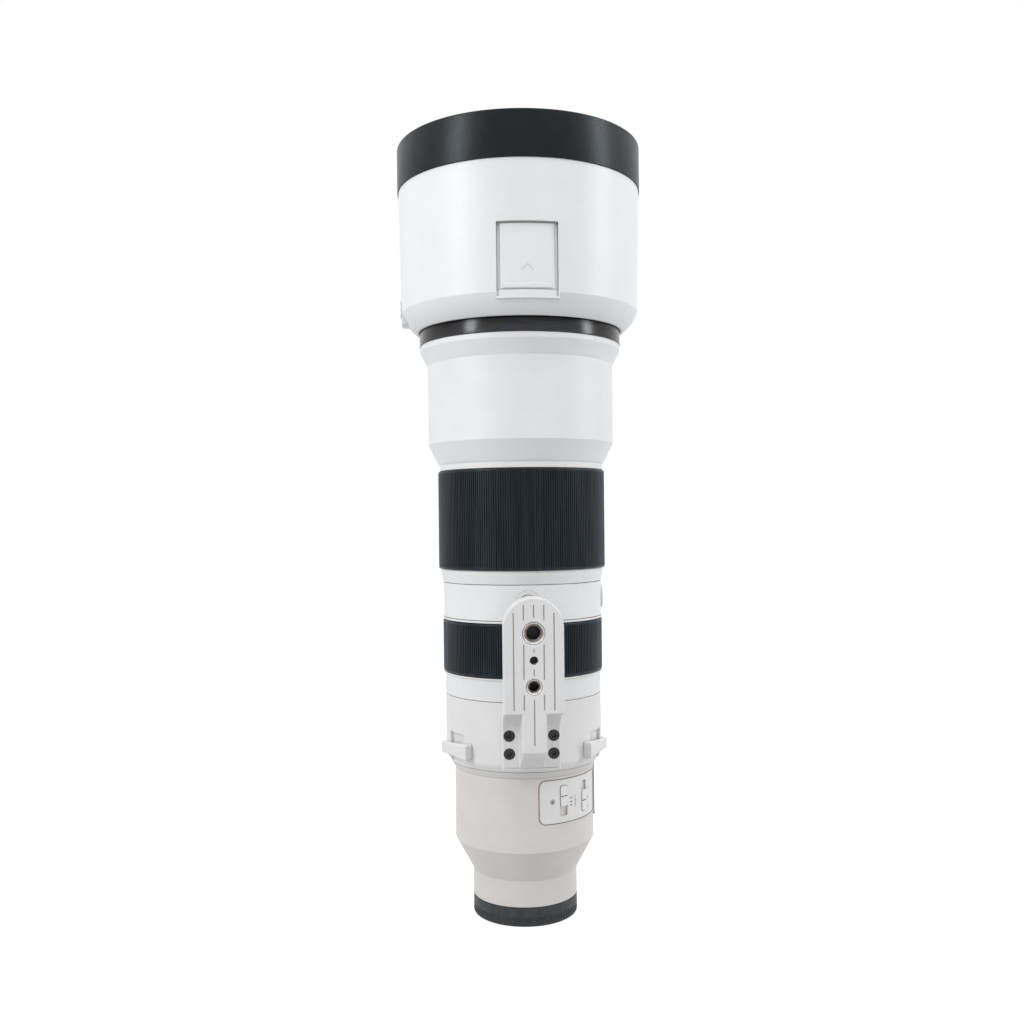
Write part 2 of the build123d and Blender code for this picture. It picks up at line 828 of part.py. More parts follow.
with BuildPart() as fixed_band:
    turned([
        (band_bore, z_band),
        (band_radius, z_band),
        (band_radius, z_band + band_seam),
        (band_radius - seam_depth, z_band + band_seam),
        (band_radius - seam_depth, z_band + band_seam + seam_width),
        (band_radius, z_band + band_seam + seam_width),
        (band_radius, z_band_top - lip_height - seam_width),
        (band_radius - seam_depth, z_band_top - lip_height - seam_width),
        (band_radius - seam_depth, z_band_top - lip_height),
        (mid_radius + lip_rise, z_band_top - lip_height),
        (mid_radius + lip_rise, z_band_top),
        (spine_radius + seat_gap, z_band_top),
        (spine_radius + seat_gap, z_band_top - band_web),
        (band_bore, z_band_top - band_web),
    ])
finish(fixed_band.part, "fixed_band")

# Focus ring and its rubber grip
ring_bore = spine_radius + journal_gap
focus_core_radius = 45.4

with BuildPart() as focus_ring:
    tube(ring_bore, focus_core_radius, z_focus, z_focus_top)
finish(focus_ring.part, "focus_ring")

with BuildPart() as focus_grip:
    rounded_band(focus_core_radius, focus_grip_radius, z_focus, z_focus_top, edge_round)
finish(focus_grip.part, "focus_grip")

# Middle barrel, with three focus-hold buttons in bezels
button_rise = 11.5
button_bearings = (0.0, 90.0, 180.0)
button_radius = 4.5
button_proud = 1.45
button_depth = 3.8
bezel_radius = 6.9
bezel_proud = 0.95
bezel_depth = 1.8
button_round = 0.5
z_button = z_mid + button_rise

with BuildPart() as mid_barrel:
    turned([
        (spine_radius + seat_gap, z_mid),
        (mid_radius + lip_rise, z_mid),
        (mid_radius + lip_rise, z_mid + lip_height),
        (mid_radius - seam_depth, z_mid + lip_height),
        (mid_radius - seam_depth, z_mid + lip_height + seam_width),
        (mid_radius, z_mid + lip_height + seam_width),
        (mid_radius, z_mid_top),
        (spine_radius + seat_gap, z_mid_top),
    ])
    for bearing in button_bearings:
        radial_pin(
            bearing, z_button, button_radius + side_gap,
            spine_radius - overrun, mid_radius + overrun, Mode.SUBTRACT,
        )
        radial_pin(
            bearing, z_button, bezel_radius + seat_gap,
            mid_radius + bezel_proud - bezel_depth, mid_radius + overrun, Mode.SUBTRACT,
        )
finish(mid_barrel.part, "mid_barrel")

with BuildPart() as hold_bezels:
    for bearing in button_bearings:
        bezel_face = mid_radius + bezel_proud
        radial_pin(bearing, z_button, bezel_radius, bezel_face - bezel_depth, bezel_face)
        radial_pin(
            bearing, z_button, button_radius + side_gap,
            bezel_face - bezel_depth - overrun, bezel_face + overrun, Mode.SUBTRACT,
        )
finish(hold_bezels.part, "hold_bezels")


def hold_button(bearing):
    """A focus-hold button with a rounded face."""
    face = mid_radius + button_proud
    with BuildPart() as button:
        radial_pin(bearing, z_button, button_radius, face - button_depth, face)
        along = Axis((0, 0, z_button), outward(bearing, 0, 0).z_dir)
        fillet(button.edges().filter_by(GeomType.CIRCLE).sort_by(along)[-1], button_round)
    return button.part


for bearing, name in zip(button_bearings, ("hold_button_foot", "hold_button_side", "hold_button_top")):
    finish(hold_button(bearing), name)

# Zoom ring with its white skirt, and its rubber grip
zoom_core_radius = 47.6
skirt_taper = 5.2

with BuildPart() as zoom_ring:
    turned([
        (ring_bore, z_zoom),
        (mid_radius, z_zoom),
        (zoom_skirt_radius, z_zoom + skirt_taper),
        (zoom_skirt_radius, z_zoom_grip),
        (zoom_core_radius, z_zoom_grip),
        (zoom_core_radius, z_zoom_top),
        (ring_bore, z_zoom_top),
    ])
    radial_pad(
        key_bearing, z_key + key_height / 2, key_width + 2 * seat_gap, key_height + 2 * seat_gap,
        edge_round, spine_radius - overrun, key_reach + seat_gap, Mode.SUBTRACT,
    )
finish(zoom_ring.part, "zoom_ring")

with BuildPart() as zoom_grip:
    rounded_band(zoom_core_radius, zoom_grip_radius, z_zoom_grip, z_zoom_top, edge_round)
finish(zoom_grip.part, "zoom_grip")

# Front barrel: two cones, a body and a flare, with a ledge for the front cell
front_bore = front_body_radius - shell_wall
front_ring_wall = 7.9
thread_radius = front_ring_radius - front_ring_wall
thread_length = 7.5
filter_step = 0.6
front_ledge_bore = guide_radius + seat_gap
hub_wall = 4.6

with BuildPart() as front_barrel:
    turned([
        (spine_radius + seat_gap, z_front),
        (front_step_radius, z_front),
        (front_step_radius, z_front_cone - edge_round),
        (front_cone_radius, z_front_cone),
        (front_body_radius, z_front_body),
        (front_body_radius, z_flare),
        (front_flange_radius, z_flange),
        (front_flange_radius, z_front_ring),
        (front_bore, z_front_ring),
        (front_bore, z_front_ledge + front_ledge),
        (front_ledge_bore, z_front_ledge + front_ledge),
        (front_ledge_bore, z_front_ledge),
        (front_bore, z_front_ledge),
        (front_bore, z_front_body + shell_wall),
        (spine_radius + hub_wall, z_spine_top),
        (spine_radius + seat_gap, z_spine_top),
    ])
finish(front_barrel.part, "front_barrel")

# Front cell with two glasses
front_glass_radius = thread_radius - filter_step
front_glass_depth = 24.0
second_glass_step = 1.4
cell_lip_width = 2.0
front_glass_edge = 7.0
front_glass_bulge = 6.5
front_glass_hollow = 1.5
second_glass_radius = front_glass_radius - second_glass_step
second_glass_edge = 9.0
second_glass_bulge = 5.0
second_glass_hollow = 2.0
cell_lip_bore = second_glass_radius - cell_lip_width
cell_lip_height = 10.0
front_cell_inset = 9.0
z_front_glass = z_face - front_glass_depth
z_second_glass = z_front_glass - cell_lip_height
z_cell = z_front_ledge + front_ledge
front_cell_radius = front_bore - 2 * seat_gap

with BuildPart() as front_cell:
    turned([
        (second_glass_radius + seat_gap, z_cell),
        (front_cell_radius, z_cell),
        (front_cell_radius, z_face - front_cell_inset),
        (front_glass_radius + seat_gap, z_face - front_cell_inset),
        (front_glass_radius + seat_gap, z_front_glass),
        (cell_lip_bore, z_front_glass),
        (cell_lip_bore, z_second_glass),
        (second_glass_radius + seat_gap, z_second_glass),
    ])
finish(front_cell.part, "front_cell")

with BuildPart() as front_glasses:
    glass(front_glass_radius, z_front_glass, front_glass_edge, -front_glass_hollow, front_glass_bulge)
    glass(
        second_glass_radius, z_second_glass - second_glass_edge, second_glass_edge,
        second_glass_bulge, -second_glass_hollow,
    )
finish(front_glasses.part, "front_glasses")

# Retainer that screws down on the front glass
retainer_step = 1.0
retainer_bore = cell_lip_bore + retainer_step
retainer_height = 3.0
z_retainer = z_front_glass + front_glass_edge + surface_rise(
    front_glass_radius, front_glass_bulge, retainer_bore
) + seat_gap

with BuildPart() as front_retainer:
    turned([
        (retainer_bore, z_retainer),
        (front_glass_radius, z_retainer),
        (front_glass_radius, z_retainer + retainer_height),
        (retainer_bore + edge_round, z_retainer + retainer_height),
    ])
finish(front_retainer.part, "front_retainer")

# Front ring: the black ring with the hood's bayonet outside and the filter thread inside
thread_mouth = 0.5
hood_groove_depth = 1.3
hood_groove_radius = front_ring_radius - hood_groove_depth
hood_groove_rise = 11.0
ring_lug_rise = 15.0
ring_lug_height = 3.0
hood_lug_bearings = (60.0, 180.0, 300.0)
ring_lug_arc = 60.0

with BuildPart() as front_ring:
    turned([
        (front_bore, z_front_ring),
        (front_ring_radius, z_front_ring),
        (front_ring_radius, z_front_ring + hood_groove_rise),
        (hood_groove_radius, z_front_ring + hood_groove_rise),
        (hood_groove_radius, z_face - edge_round),
        (hood_groove_radius - edge_round, z_face),
        (thread_radius + thread_mouth, z_face),
        (thread_radius, z_face - thread_mouth),
        (thread_radius, z_face - thread_length),
        (front_bore, z_face - thread_length),
    ])
    for bearing in hood_lug_bearings:
        sector(
            hood_groove_radius - seat_gap, front_ring_radius,
            z_front_ring + ring_lug_rise, z_front_ring + ring_lug_rise + ring_lug_height,
            bearing - ring_lug_arc / 2, bearing + ring_lug_arc / 2,
        )
finish(front_ring.part, "front_ring")

# Hood shell: throat, shoulder, tapered body, three lugs inside the throat
hood_overlap = 12.5
hood_shoulder_length = 11.0
hood_body_length = 71.5
rim_length = 26.0
hood_throat_gap = 0.35
hood_throat_length = 7.7
hood_rear_step = 1.25
hood_flare = 10.5
hood_taper = 1.3
hood_wall = 1.7
hood_throat = front_ring_radius + hood_throat_gap
hood_rear_radius = hood_throat + hood_rear_step
hood_radius = front_ring_radius + hood_flare
hood_front_radius = hood_radius + hood_taper
shoulder_bulge = 1.0
hood_lug_arc = 48.0
hood_lug_height = 2.8
z_hood = z_face - hood_overlap
z_shoulder = z_hood + hood_shoulder_length
z_rim = z_shoulder + hood_body_length
z_hood_top = z_rim + rim_length
z_hood_inner = z_shoulder + hood_wall + side_gap

# The window in the hood, its raised frame, and the pocket that the door slides into
window_width = 33.4
window_rise = 0.9
window_height = 36.7
window_corner = 0.7
frame_width = 35.0
frame_drop = 3.6
notch_width = 1.4
notch_drop = 3.2
door_travel = 22.0
door_thickness = 1.55
door_wing_thickness = 0.7
door_inset = 0.65
wing_width = 1.7
door_face = hood_radius - door_inset
door_bore = door_face - door_thickness
door_wing = door_bore + door_wing_thickness
pocket_radius = door_face + side_gap
z_window = z_shoulder + window_rise
z_window_top = z_window + window_height

# The lock button on the hood's left
lock_bearing = 270.0
lock_width = 12.0
lock_height = 10.0
lock_corner = 1.5
lock_rise = 3.4
lock_stroke = 0.6
lock_proud = 0.6
lock_depth = 1.0
lock_pad_width = 17.0
lock_pad_drop = 6.0
z_lock = z_shoulder + lock_rise

with BuildPart() as hood_shell:
    with BuildSketch(Plane.XZ):
        with BuildLine():
            rear_edge = (hood_rear_radius, z_hood)
            shoulder = (hood_radius, z_shoulder)
            run = Vector(shoulder[0] - rear_edge[0], shoulder[1] - rear_edge[1])
            bulge = Vector(run.Y, -run.X).normalized() * shoulder_bulge
            Line((hood_throat, z_hood), rear_edge)
            ThreePointArc(rear_edge, Vector(*rear_edge) + run / 2 + bulge, shoulder)
            Polyline(
                shoulder,
                (hood_front_radius, z_rim),
                (hood_front_radius - hood_wall, z_rim),
                (hood_radius - hood_wall, z_hood_inner),
                (hood_throat, z_hood + hood_throat_length),
                (hood_throat, z_hood),
            )
        make_face()
    revolve(axis=Axis.Z)
    frame_half = half_angle(frame_width / 2, hood_radius)
    sector(
        hood_throat + overrun, hood_radius, z_shoulder - frame_drop, z_window + window_rise,
        -frame_half, frame_half,
    )
    pad_half = half_angle(lock_pad_width / 2, hood_radius)
    sector(
        hood_throat + overrun, hood_radius, z_shoulder - lock_pad_drop, z_window + window_rise,
        lock_bearing - pad_half, lock_bearing + pad_half,
    )
    radial_pad(
        0, z_window + window_height / 2, window_width, window_height, window_corner,
        hood_throat, hood_front_radius + overrun, Mode.SUBTRACT,
    )
    for side in (-1, 1):
        with BuildSketch(outward(0, door_bore - side_gap, z_window)):
            with Locations((side * (window_width - notch_width) / 2, window_corner - notch_drop / 2)):
                Rectangle(notch_width, notch_drop + 2 * window_corner)
        extrude(amount=hood_front_radius + overrun - door_bore, mode=Mode.SUBTRACT)
    pocket_half = half_angle(window_width / 2, door_bore)
    sector(
        door_bore - side_gap, pocket_radius, z_window_top - overrun, z_window_top + door_travel + side_gap,
        -pocket_half, pocket_half, Mode.SUBTRACT,
    )
    radial_pad(
        lock_bearing, z_lock, lock_width + 2 * side_gap, lock_height + 2 * side_gap, lock_corner,
        hood_radius + lock_proud - lock_depth - lock_stroke - side_gap, hood_front_radius + overrun,
        Mode.SUBTRACT,
    )
    lug_low = z_front_ring + (hood_groove_rise + ring_lug_rise - hood_lug_height) / 2
    for bearing in hood_lug_bearings:
        sector(
            hood_groove_radius + side_gap, hood_throat + edge_round, lug_low, lug_low + hood_lug_height,
            bearing - hood_lug_arc / 2, bearing + hood_lug_arc / 2,
        )
finish(hood_shell.part, "hood_shell")

with BuildPart() as hood_lock_button:
    lock_face = hood_radius + lock_proud
    radial_pad(
        lock_bearing, z_lock, lock_width, lock_height, lock_corner, lock_face - lock_depth, lock_face,
    )
    for step in (-1, 0, 1):
        with BuildSketch(outward(lock_bearing, lock_face, z_lock + step * lock_height / 4)):
            Rectangle(lock_width * 2 / 3, seam_width)
        extrude(amount=-seam_width, mode=Mode.SUBTRACT)
finish(hood_lock_button.part, "hood_lock_button")

# The hood's door: a thin plate with a raised middle between two wings
door_half = half_angle(window_width / 2 - side_gap, door_bore)
raised_half = half_angle(window_width / 2 - side_gap - wing_width, door_face)
raised_inset = 0.5
z_door = z_window + side_gap
z_door_top = z_window_top - side_gap
z_raised = z_door + raised_inset
z_raised_top = z_door_top - raised_inset

with BuildPart() as hood_door:
    add(curved_plate(door_bore, door_wing, z_door, z_door_top, -door_half, door_half, window_corner))
    add(curved_plate(
        door_wing - seat_gap, door_face, z_raised, z_raised_top, -raised_half, raised_half, window_corner,
    ))
finish(hood_door.part, "hood_door")

# The guide: two rails beside the window and a plate that closes the pocket from inside
guide_lap = 2.85
guide_width = window_width + 2 * guide_lap
guide_margin = 1.7
guide_thickness = 1.6
rail_width = 3.0
door_guide_radius = door_bore - side_gap
z_door_guide = z_hood_inner + ring_gap
z_door_guide_top = z_window_top + door_travel + rail_width
guide_half = half_angle(guide_width / 2, door_bore)
rail_half = half_angle(guide_width / 2 - rail_width + edge_round, door_bore)

with BuildPart() as hood_door_guide:
    guide_bore_radius = door_guide_radius - guide_thickness
    sector(guide_bore_radius, door_guide_radius, z_door_guide, z_door_guide_top, -guide_half, guide_half)
    for start, end in ((-guide_half, -rail_half), (rail_half, guide_half)):
        sector(
            door_guide_radius - edge_round, hood_radius - hood_wall - seat_gap,
            z_door_guide, z_door_guide_top, start, end,
        )
    radial_pad(
        0, z_window + window_height / 2, window_width - 2 * guide_margin, window_height - 2 * guide_margin,
        window_corner, guide_bore_radius - overrun, door_guide_radius + overrun, Mode.SUBTRACT,
    )
finish(hood_door_guide.part, "hood_door_guide")

# Flocked liner inside the hood, open where the door's guide sits
liner_thickness = 1.1
liner_inset = 2.0
liner_radius = hood_radius - hood_wall - 4 * seat_gap

with BuildPart() as hood_liner:
    tube(liner_radius - liner_thickness, liner_radius, z_door_guide, z_hood_top - liner_inset)
    opening_half = half_angle(guide_width / 2 + side_gap, liner_radius)
    sector(
        liner_radius - liner_thickness - overrun, liner_radius + overrun, z_door_guide - overrun,
        z_door_guide_top + side_gap, -opening_half, opening_half, Mode.SUBTRACT,
    )
finish(hood_liner.part, "hood_liner")

# Black rim at the hood's front edge
rim_step = 0.6
rim_radius = hood_front_radius + rim_step
rim_bore = liner_radius + 2 * seat_gap
rim_chamfer = 1.0

with BuildPart() as hood_rim:
    turned([
        (rim_bore, z_rim),
        (rim_radius, z_rim),
        (rim_radius, z_hood_top - rim_chamfer),
        (rim_radius - rim_chamfer, z_hood_top),
        (rim_bore + rim_chamfer, z_hood_top),
        (rim_bore, z_hood_top - rim_chamfer),
    ])
finish(hood_rim.part, "hood_rim")

# Tripod foot: sizes that the collar's boss shares
foot_width = 31.8
foot_plate = 13.0
foot_length = 95.9
foot_gap = 22.0
foot_rise = 3.6
foot_low_inset = 1.6
foot_stem_round = 16.0
foot_stem_depth = 6.0
tongue_width = 13.0
tongue_rise = 14.4
pocket_height = 33.8
pocket_round = 9.4
screw_block = 12.0
screw_spread = 24.2
screw_pitch = 9.8
screw_rise = 19.2
screw_head_radius = 3.0
screw_head_height = 3.0
screw_head_recess = 3.4
screw_shank_radius = 1.9
screw_length = 18.0
socket_width = 2.6
socket_depth = 1.6
screw_hole_play = 0.15
foot_seat = collar_radius + foot_rise
foot_face = foot_seat + foot_gap + foot_plate
screw_floor = foot_seat + screw_block
z_foot = z_collar_body + foot_low_inset
z_tongue = z_foot + tongue_rise
z_pocket = z_foot + pocket_height
z_screw = z_foot + screw_rise
z_plate_end = z_collar_top + foot_stem_round + edge_round / 2
foot_front = z_foot + foot_length

# Tripod collar: a thick ring with a boss for the foot, a boss for the knob and strap lugs
collar_bore = journal_radius + journal_gap
boss_width = 34.0
boss_drop = 0.6
lug_bar_rise = 5.5
lug_bar_height = 9.0
lug_bar_step = 2.8
lug_bar_start = 44.0
lug_bar_end = 95.0
strap_start = 52.0
strap_end = 71.0
strap_depth = 3.8
strap_thickness = 4.3
strap_length = 20.5
knob_boss_radius = 9.0
knob_boss_rise = 3.2
knob_shaft_radius = 2.5
lug_bar_low = z_collar + lug_bar_rise
lug_bar_radius = collar_radius + lug_bar_step
strap_floor = collar_radius - strap_depth
strap_ceiling = strap_floor + strap_thickness
strap_top = z_collar + strap_length
knob_boss_face = collar_radius + knob_boss_rise
z_knob = (z_collar_body + z_collar_top) / 2

with BuildPart() as collar_ring:
    turned([
        (0, z_collar),
        (collar_edge_radius, z_collar),
        (collar_radius, z_collar_body),
        (collar_radius, z_collar_top),
        (0, z_collar_top),
    ])
    with BuildSketch(outward(0, 0, 0)):
        with Locations((0, (z_foot - boss_drop + z_collar_top) / 2)):
            Rectangle(boss_width, z_collar_top - z_foot + boss_drop)
    extrude(amount=foot_seat)
    radial_pin(180, z_knob, knob_boss_radius, 0, knob_boss_face)
    for start, end in ((lug_bar_start, lug_bar_end), (-lug_bar_end, -lug_bar_start)):
        sector(strap_floor, lug_bar_radius, lug_bar_low, lug_bar_low + lug_bar_height, start, end)
    for start, end in ((strap_start, strap_end), (-strap_end, -strap_start)):
        sector(strap_floor, strap_ceiling, z_collar - overrun, strap_top, start, end, Mode.SUBTRACT)
    with BuildSketch(Plane.XY.offset(z_collar)):
        Circle(collar_bore)
    extrude(amount=z_collar_top - z_collar, mode=Mode.SUBTRACT)
    radial_pin(180, z_knob, knob_shaft_radius + journal_gap, 0, knob_boss_face + overrun, Mode.SUBTRACT)
    for side in (-1, 1):
        for level in (0, 1):
            with BuildSketch(outward(0, foot_seat, z_screw - level * screw_pitch)):
                with Locations((side * screw_spread / 2, 0)):
                    Circle(screw_shank_radius + screw_hole_play)
            extrude(amount=-(screw_length - screw_floor + foot_seat + screw_head_recess + edge_round),
                    mode=Mode.SUBTRACT)
finish(collar_ring.part, "collar_ring")

# Lock knob on the far side of the collar, with a fluted rim
knob_radius = 8.0
knob_height = 8.0
knob_gap = 0.3
shaft_gap = 0.4
shaft_tip = journal_radius + shaft_gap
flute_count = 14
flute_radius = 1.1
knob_chamfer = 0.8

with BuildPart() as collar_knob:
    radial_pin(180, z_knob, knob_radius, knob_boss_face + knob_gap, knob_boss_face + knob_gap + knob_height)
    chamfer(collar_knob.edges().filter_by(GeomType.CIRCLE).sort_by(Axis.Y)[-1], knob_chamfer)
    radial_pin(180, z_knob, knob_shaft_radius, shaft_tip, knob_boss_face + knob_gap + knob_height / 2)
    with BuildSketch(outward(180, knob_boss_face + knob_gap + knob_height / 4, z_knob)):
        with PolarLocations(knob_radius + flute_radius / 2, flute_count):
            Circle(flute_radius)
    extrude(amount=knob_height, mode=Mode.SUBTRACT)
finish(collar_knob.part, "collar_knob")

# Threads in the foot: height above its base, thread radius, bush radius
bush_length = 10.0
bush_chamfer = 1.6
large_thread_rise = 77.1
large_thread_radius = 4.0
large_bush_radius = 5.7
small_thread_rise = 49.0
small_thread_radius = 2.6
small_bush_radius = 4.0
pin_hole_rise = 62.9
pin_hole_radius = 2.25
pin_hole_depth = 6.0
bushes = (
    (z_foot + large_thread_rise, large_thread_radius, large_bush_radius),
    (z_foot + small_thread_rise, small_thread_radius, small_bush_radius),
)

# Grooves in the foot's face: sideways place as a share of the half width, low and high end
# above the foot's base
groove_width = 0.6
groove_depth = 0.5
outer_groove_share = 0.67
inner_groove_share = 0.335
groove_spans = (
    (outer_groove_share, 37.0, 87.8),
    (inner_groove_share, 37.0, 45.0),
    (inner_groove_share, 53.0, 71.2),
    (inner_groove_share, 84.0, 92.0),
    (0.0, 18.4, 42.4),
    (0.0, 55.0, 58.4),
    (0.0, 67.4, 69.0),
    (0.0, 85.4, 92.0),
)

with BuildPart() as foot:
    with BuildSketch(Plane.YZ):
        with BuildLine():
            gap_start = (-foot_seat - foot_stem_depth, z_collar_top)
            gap_end = (-foot_face + foot_plate, z_collar_top + foot_stem_round)
            Polyline((-foot_seat, z_foot), (-foot_seat, z_collar_top), gap_start)
            TangentArc(gap_start, gap_end, tangent=(-1, 0))
            Polyline(
                gap_end,
                (-foot_face + foot_plate, foot_front),
                (-foot_face, foot_front),
                (-foot_face, z_tongue),
                (-screw_floor, z_foot + foot_low_inset),
                (-screw_floor + foot_low_inset, z_foot),
                (-foot_seat, z_foot),
            )
        make_face()
    extrude(amount=foot_width / 2, both=True)
    with BuildSketch(outward(0, 0, 0)):
        with Locations((0, foot_front - foot_width / 2)):
            Circle(foot_width / 2)
        with Locations((0, (z_foot - overrun + foot_front - foot_width / 2) / 2)):
            Rectangle(foot_width, foot_front - foot_width / 2 - z_foot + overrun)
    extrude(amount=foot_face + overrun, mode=Mode.INTERSECT)
    face_edges = foot.faces().filter_by(Axis.Y).sort_by(Axis.Y)[0].edges()
    fillet(face_edges.filter_by(lambda edge: edge.center().Z > z_tongue + overrun), edge_round)
    for side in (-1, 1):
        with BuildSketch(Plane.YZ.offset(side * tongue_width / 2)):
            with BuildLine():
                pocket_start = (-screw_floor, z_pocket - pocket_round)
                pocket_end = (-foot_face - overrun, z_pocket + edge_round)
                Polyline(pocket_start, (-screw_floor, z_foot - overrun))
                Polyline(
                    (-screw_floor, z_foot - overrun),
                    (-foot_face - overrun, z_foot - overrun),
                    pocket_end,
                )
                ThreePointArc(
                    pocket_start,
                    (-screw_floor - pocket_round, z_pocket - pocket_round / 3),
                    pocket_end,
                )
            make_face()
        extrude(amount=side * foot_width, mode=Mode.SUBTRACT)
    for side in (-1, 1):
        for level in (0, 1):
            seat = outward(0, screw_floor, z_screw - level * screw_pitch)
            with BuildSketch(seat):
                with Locations((side * screw_spread / 2, 0)):
                    Circle(screw_head_radius + screw_hole_play)
            extrude(amount=-screw_head_recess, mode=Mode.SUBTRACT)
            with BuildSketch(seat):
                with Locations((side * screw_spread / 2, 0)):
                    Circle(screw_shank_radius + screw_hole_play)
            extrude(amount=-(screw_floor - foot_seat), mode=Mode.SUBTRACT)
    for height, _, bush_radius in bushes:
        radial_pin(0, height, bush_radius, foot_face - bush_length, foot_face + overrun, Mode.SUBTRACT)
    radial_pin(
        0, z_foot + pin_hole_rise, pin_hole_radius, foot_face - pin_hole_depth, foot_face, Mode.SUBTRACT,
    )
    for share, low, high in groove_spans:
        for side in (-1, 1) if share else (1,):
            radial_low = outward(0, foot_face, z_foot + (low + high) / 2)
            with BuildSketch(radial_low):
                with Locations((side * share * foot_width / 2, 0)):
                    SlotOverall(high - low, groove_width, rotation=90)
            extrude(amount=-groove_depth, mode=Mode.SUBTRACT)
    split(bisect_by=Plane.XY.offset(z_plate_end), keep=Keep.BOTH)
finish(foot.part, "foot")

with BuildPart() as thread_bushes:
    for height, thread, bush_radius in bushes:
        radial_pin(0, height, bush_radius, foot_face - bush_length, foot_face)
        radial_pin(0, height, thread, foot_face - bush_length - overrun, foot_face + overrun, Mode.SUBTRACT)
        mouth = bush_radius - edge_round / 2
        with BuildSketch(lengthwise(0)):
            with BuildLine():
                Polyline(
                    (foot_face, height),
                    (foot_face, height + mouth),
                    (foot_face - bush_chamfer, height + thread),
                    (foot_face - bush_chamfer, height),
                    close=True,
                )
            make_face()
        revolve(axis=Axis((0, 0, height), (0, -1, 0)), mode=Mode.SUBTRACT)
finish(thread_bushes.part, "thread_bushes")

with BuildPart() as foot_screws:
    head_base = screw_floor - screw_head_recess
    for side in (-1, 1):
        for level in (0, 1):
            seat = outward(0, head_base, z_screw - level * screw_pitch)
            with BuildSketch(seat):
                with Locations((side * screw_spread / 2, 0)):
                    Circle(screw_head_radius)
            extrude(amount=screw_head_height)
            with BuildSketch(seat):
                with Locations((side * screw_spread / 2, 0)):
                    Circle(screw_shank_radius)
            extrude(amount=-(screw_length - screw_head_height))
            with BuildSketch(seat.offset(screw_head_height)):
                with Locations((side * screw_spread / 2, 0)):
                    RegularPolygon(socket_width / 2, 6, major_radius=False)
            extrude(amount=-socket_depth, mode=Mode.SUBTRACT)
finish(foot_screws.part, "foot_screws")

# Rear cap: a cup with three lugs that lie behind the claws
cap_height = 11.4
cap_radius = 30.9
cap_wall = 2.4
cap_floor = 2.2
cap_round = 2.0
cap_lug_height = 1.4
cap_lug_arc = 50.0
cap_lug_bore = register_radius + side_gap
cap_lug_low = claw_thickness - register_length + side_gap

with BuildPart() as rear_cap:
    turned([
        (0, -cap_height),
        (cap_radius, -cap_height),
        (cap_radius, -ring_gap),
        (cap_radius - cap_wall, -ring_gap),
        (cap_radius - cap_wall, cap_floor - cap_height),
        (0, cap_floor - cap_height),
    ])
    fillet(rear_cap.edges().filter_by(GeomType.CIRCLE).group_by(Axis.Z)[0], cap_round)
    for bearing in claw_bearings:
        sector(
            cap_lug_bore, cap_radius - cap_wall + edge_round, cap_lug_low, cap_lug_low + cap_lug_height,
            bearing - cap_lug_arc / 2, bearing + cap_lug_arc / 2,
        )
finish(rear_cap.part, "rear_cap")
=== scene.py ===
import json
import math

import bmesh
import bpy
from mathutils import Matrix, Vector

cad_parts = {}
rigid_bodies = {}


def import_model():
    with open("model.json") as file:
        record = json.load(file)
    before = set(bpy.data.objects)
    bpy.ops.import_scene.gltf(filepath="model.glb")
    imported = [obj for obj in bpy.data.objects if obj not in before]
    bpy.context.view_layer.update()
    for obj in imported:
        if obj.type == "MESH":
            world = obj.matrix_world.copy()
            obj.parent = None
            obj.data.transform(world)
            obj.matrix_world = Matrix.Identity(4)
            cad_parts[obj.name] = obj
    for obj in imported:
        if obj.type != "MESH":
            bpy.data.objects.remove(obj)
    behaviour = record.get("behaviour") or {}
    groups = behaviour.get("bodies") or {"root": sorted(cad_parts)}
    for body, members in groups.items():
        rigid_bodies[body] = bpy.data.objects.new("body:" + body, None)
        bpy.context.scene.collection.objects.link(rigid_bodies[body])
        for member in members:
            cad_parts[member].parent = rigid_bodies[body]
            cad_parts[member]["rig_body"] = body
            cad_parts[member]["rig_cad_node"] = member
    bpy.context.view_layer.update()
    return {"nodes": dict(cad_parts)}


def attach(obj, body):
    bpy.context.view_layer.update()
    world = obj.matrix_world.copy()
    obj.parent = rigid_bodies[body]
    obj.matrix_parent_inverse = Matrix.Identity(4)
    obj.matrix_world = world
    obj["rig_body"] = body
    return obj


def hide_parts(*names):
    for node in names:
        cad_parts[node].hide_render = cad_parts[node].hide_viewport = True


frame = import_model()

MM = 0.001
TINY = 1e-6  # metres: vertices this close are merged
NEAR = 1e-3  # millimetres: a vertex this close to a corner is that corner
FULL_TURN = 2 * math.pi

# Radii (R, BORE, CORE) and heights (Z) of the lens, in millimetres, as in the solids
NECK_R, REAR_R, COLLAR_R, MID_R, LIP_R = 30.9, 41.3, 46.4, 47.0, 47.35
FOCUS_CORE, FOCUS_R = 45.4, 47.5
SKIRT_R, ZOOM_CORE, ZOOM_R = 48.3, 47.6, 49.7
FRONT_BORE, RING_R, GROOVE_R, THREAD_R = 53.0, 59.9, 58.6, 52.0
RIM_R, RIM_BORE = 72.3, 68.6
Z_CAP, Z_BAND_TOP, Z_FOCUS, Z_FOCUS_TOP = -11.4, 133.0, 133.3, 163.7
Z_GRIP, Z_GRIP_TOP, Z_RING, Z_FACE, Z_RIM, Z_TOP = 193.6, 251.0, 325.0, 346.0, 416.0, 442.0
FOOT_FACE = 85.0

# How finely round things are cut into flats
FINE_STEPS, SMALL_STEPS = 256, 64
ROUND_FLATS, WIDE_ROUND_FLATS, WIDE_ROUND = 4, 18, 3.0


# ---------------------------------------------------------------- modelling


def clear():
    """Leave edit mode and select nothing."""
    if bpy.context.object and bpy.context.object.mode != "OBJECT":
        bpy.ops.object.mode_set(mode="OBJECT")
    bpy.ops.object.select_all(action="DESELECT")


def activate(piece):
    """Select one piece alone."""
    clear()
    piece.select_set(True)
    bpy.context.view_layer.objects.active = piece


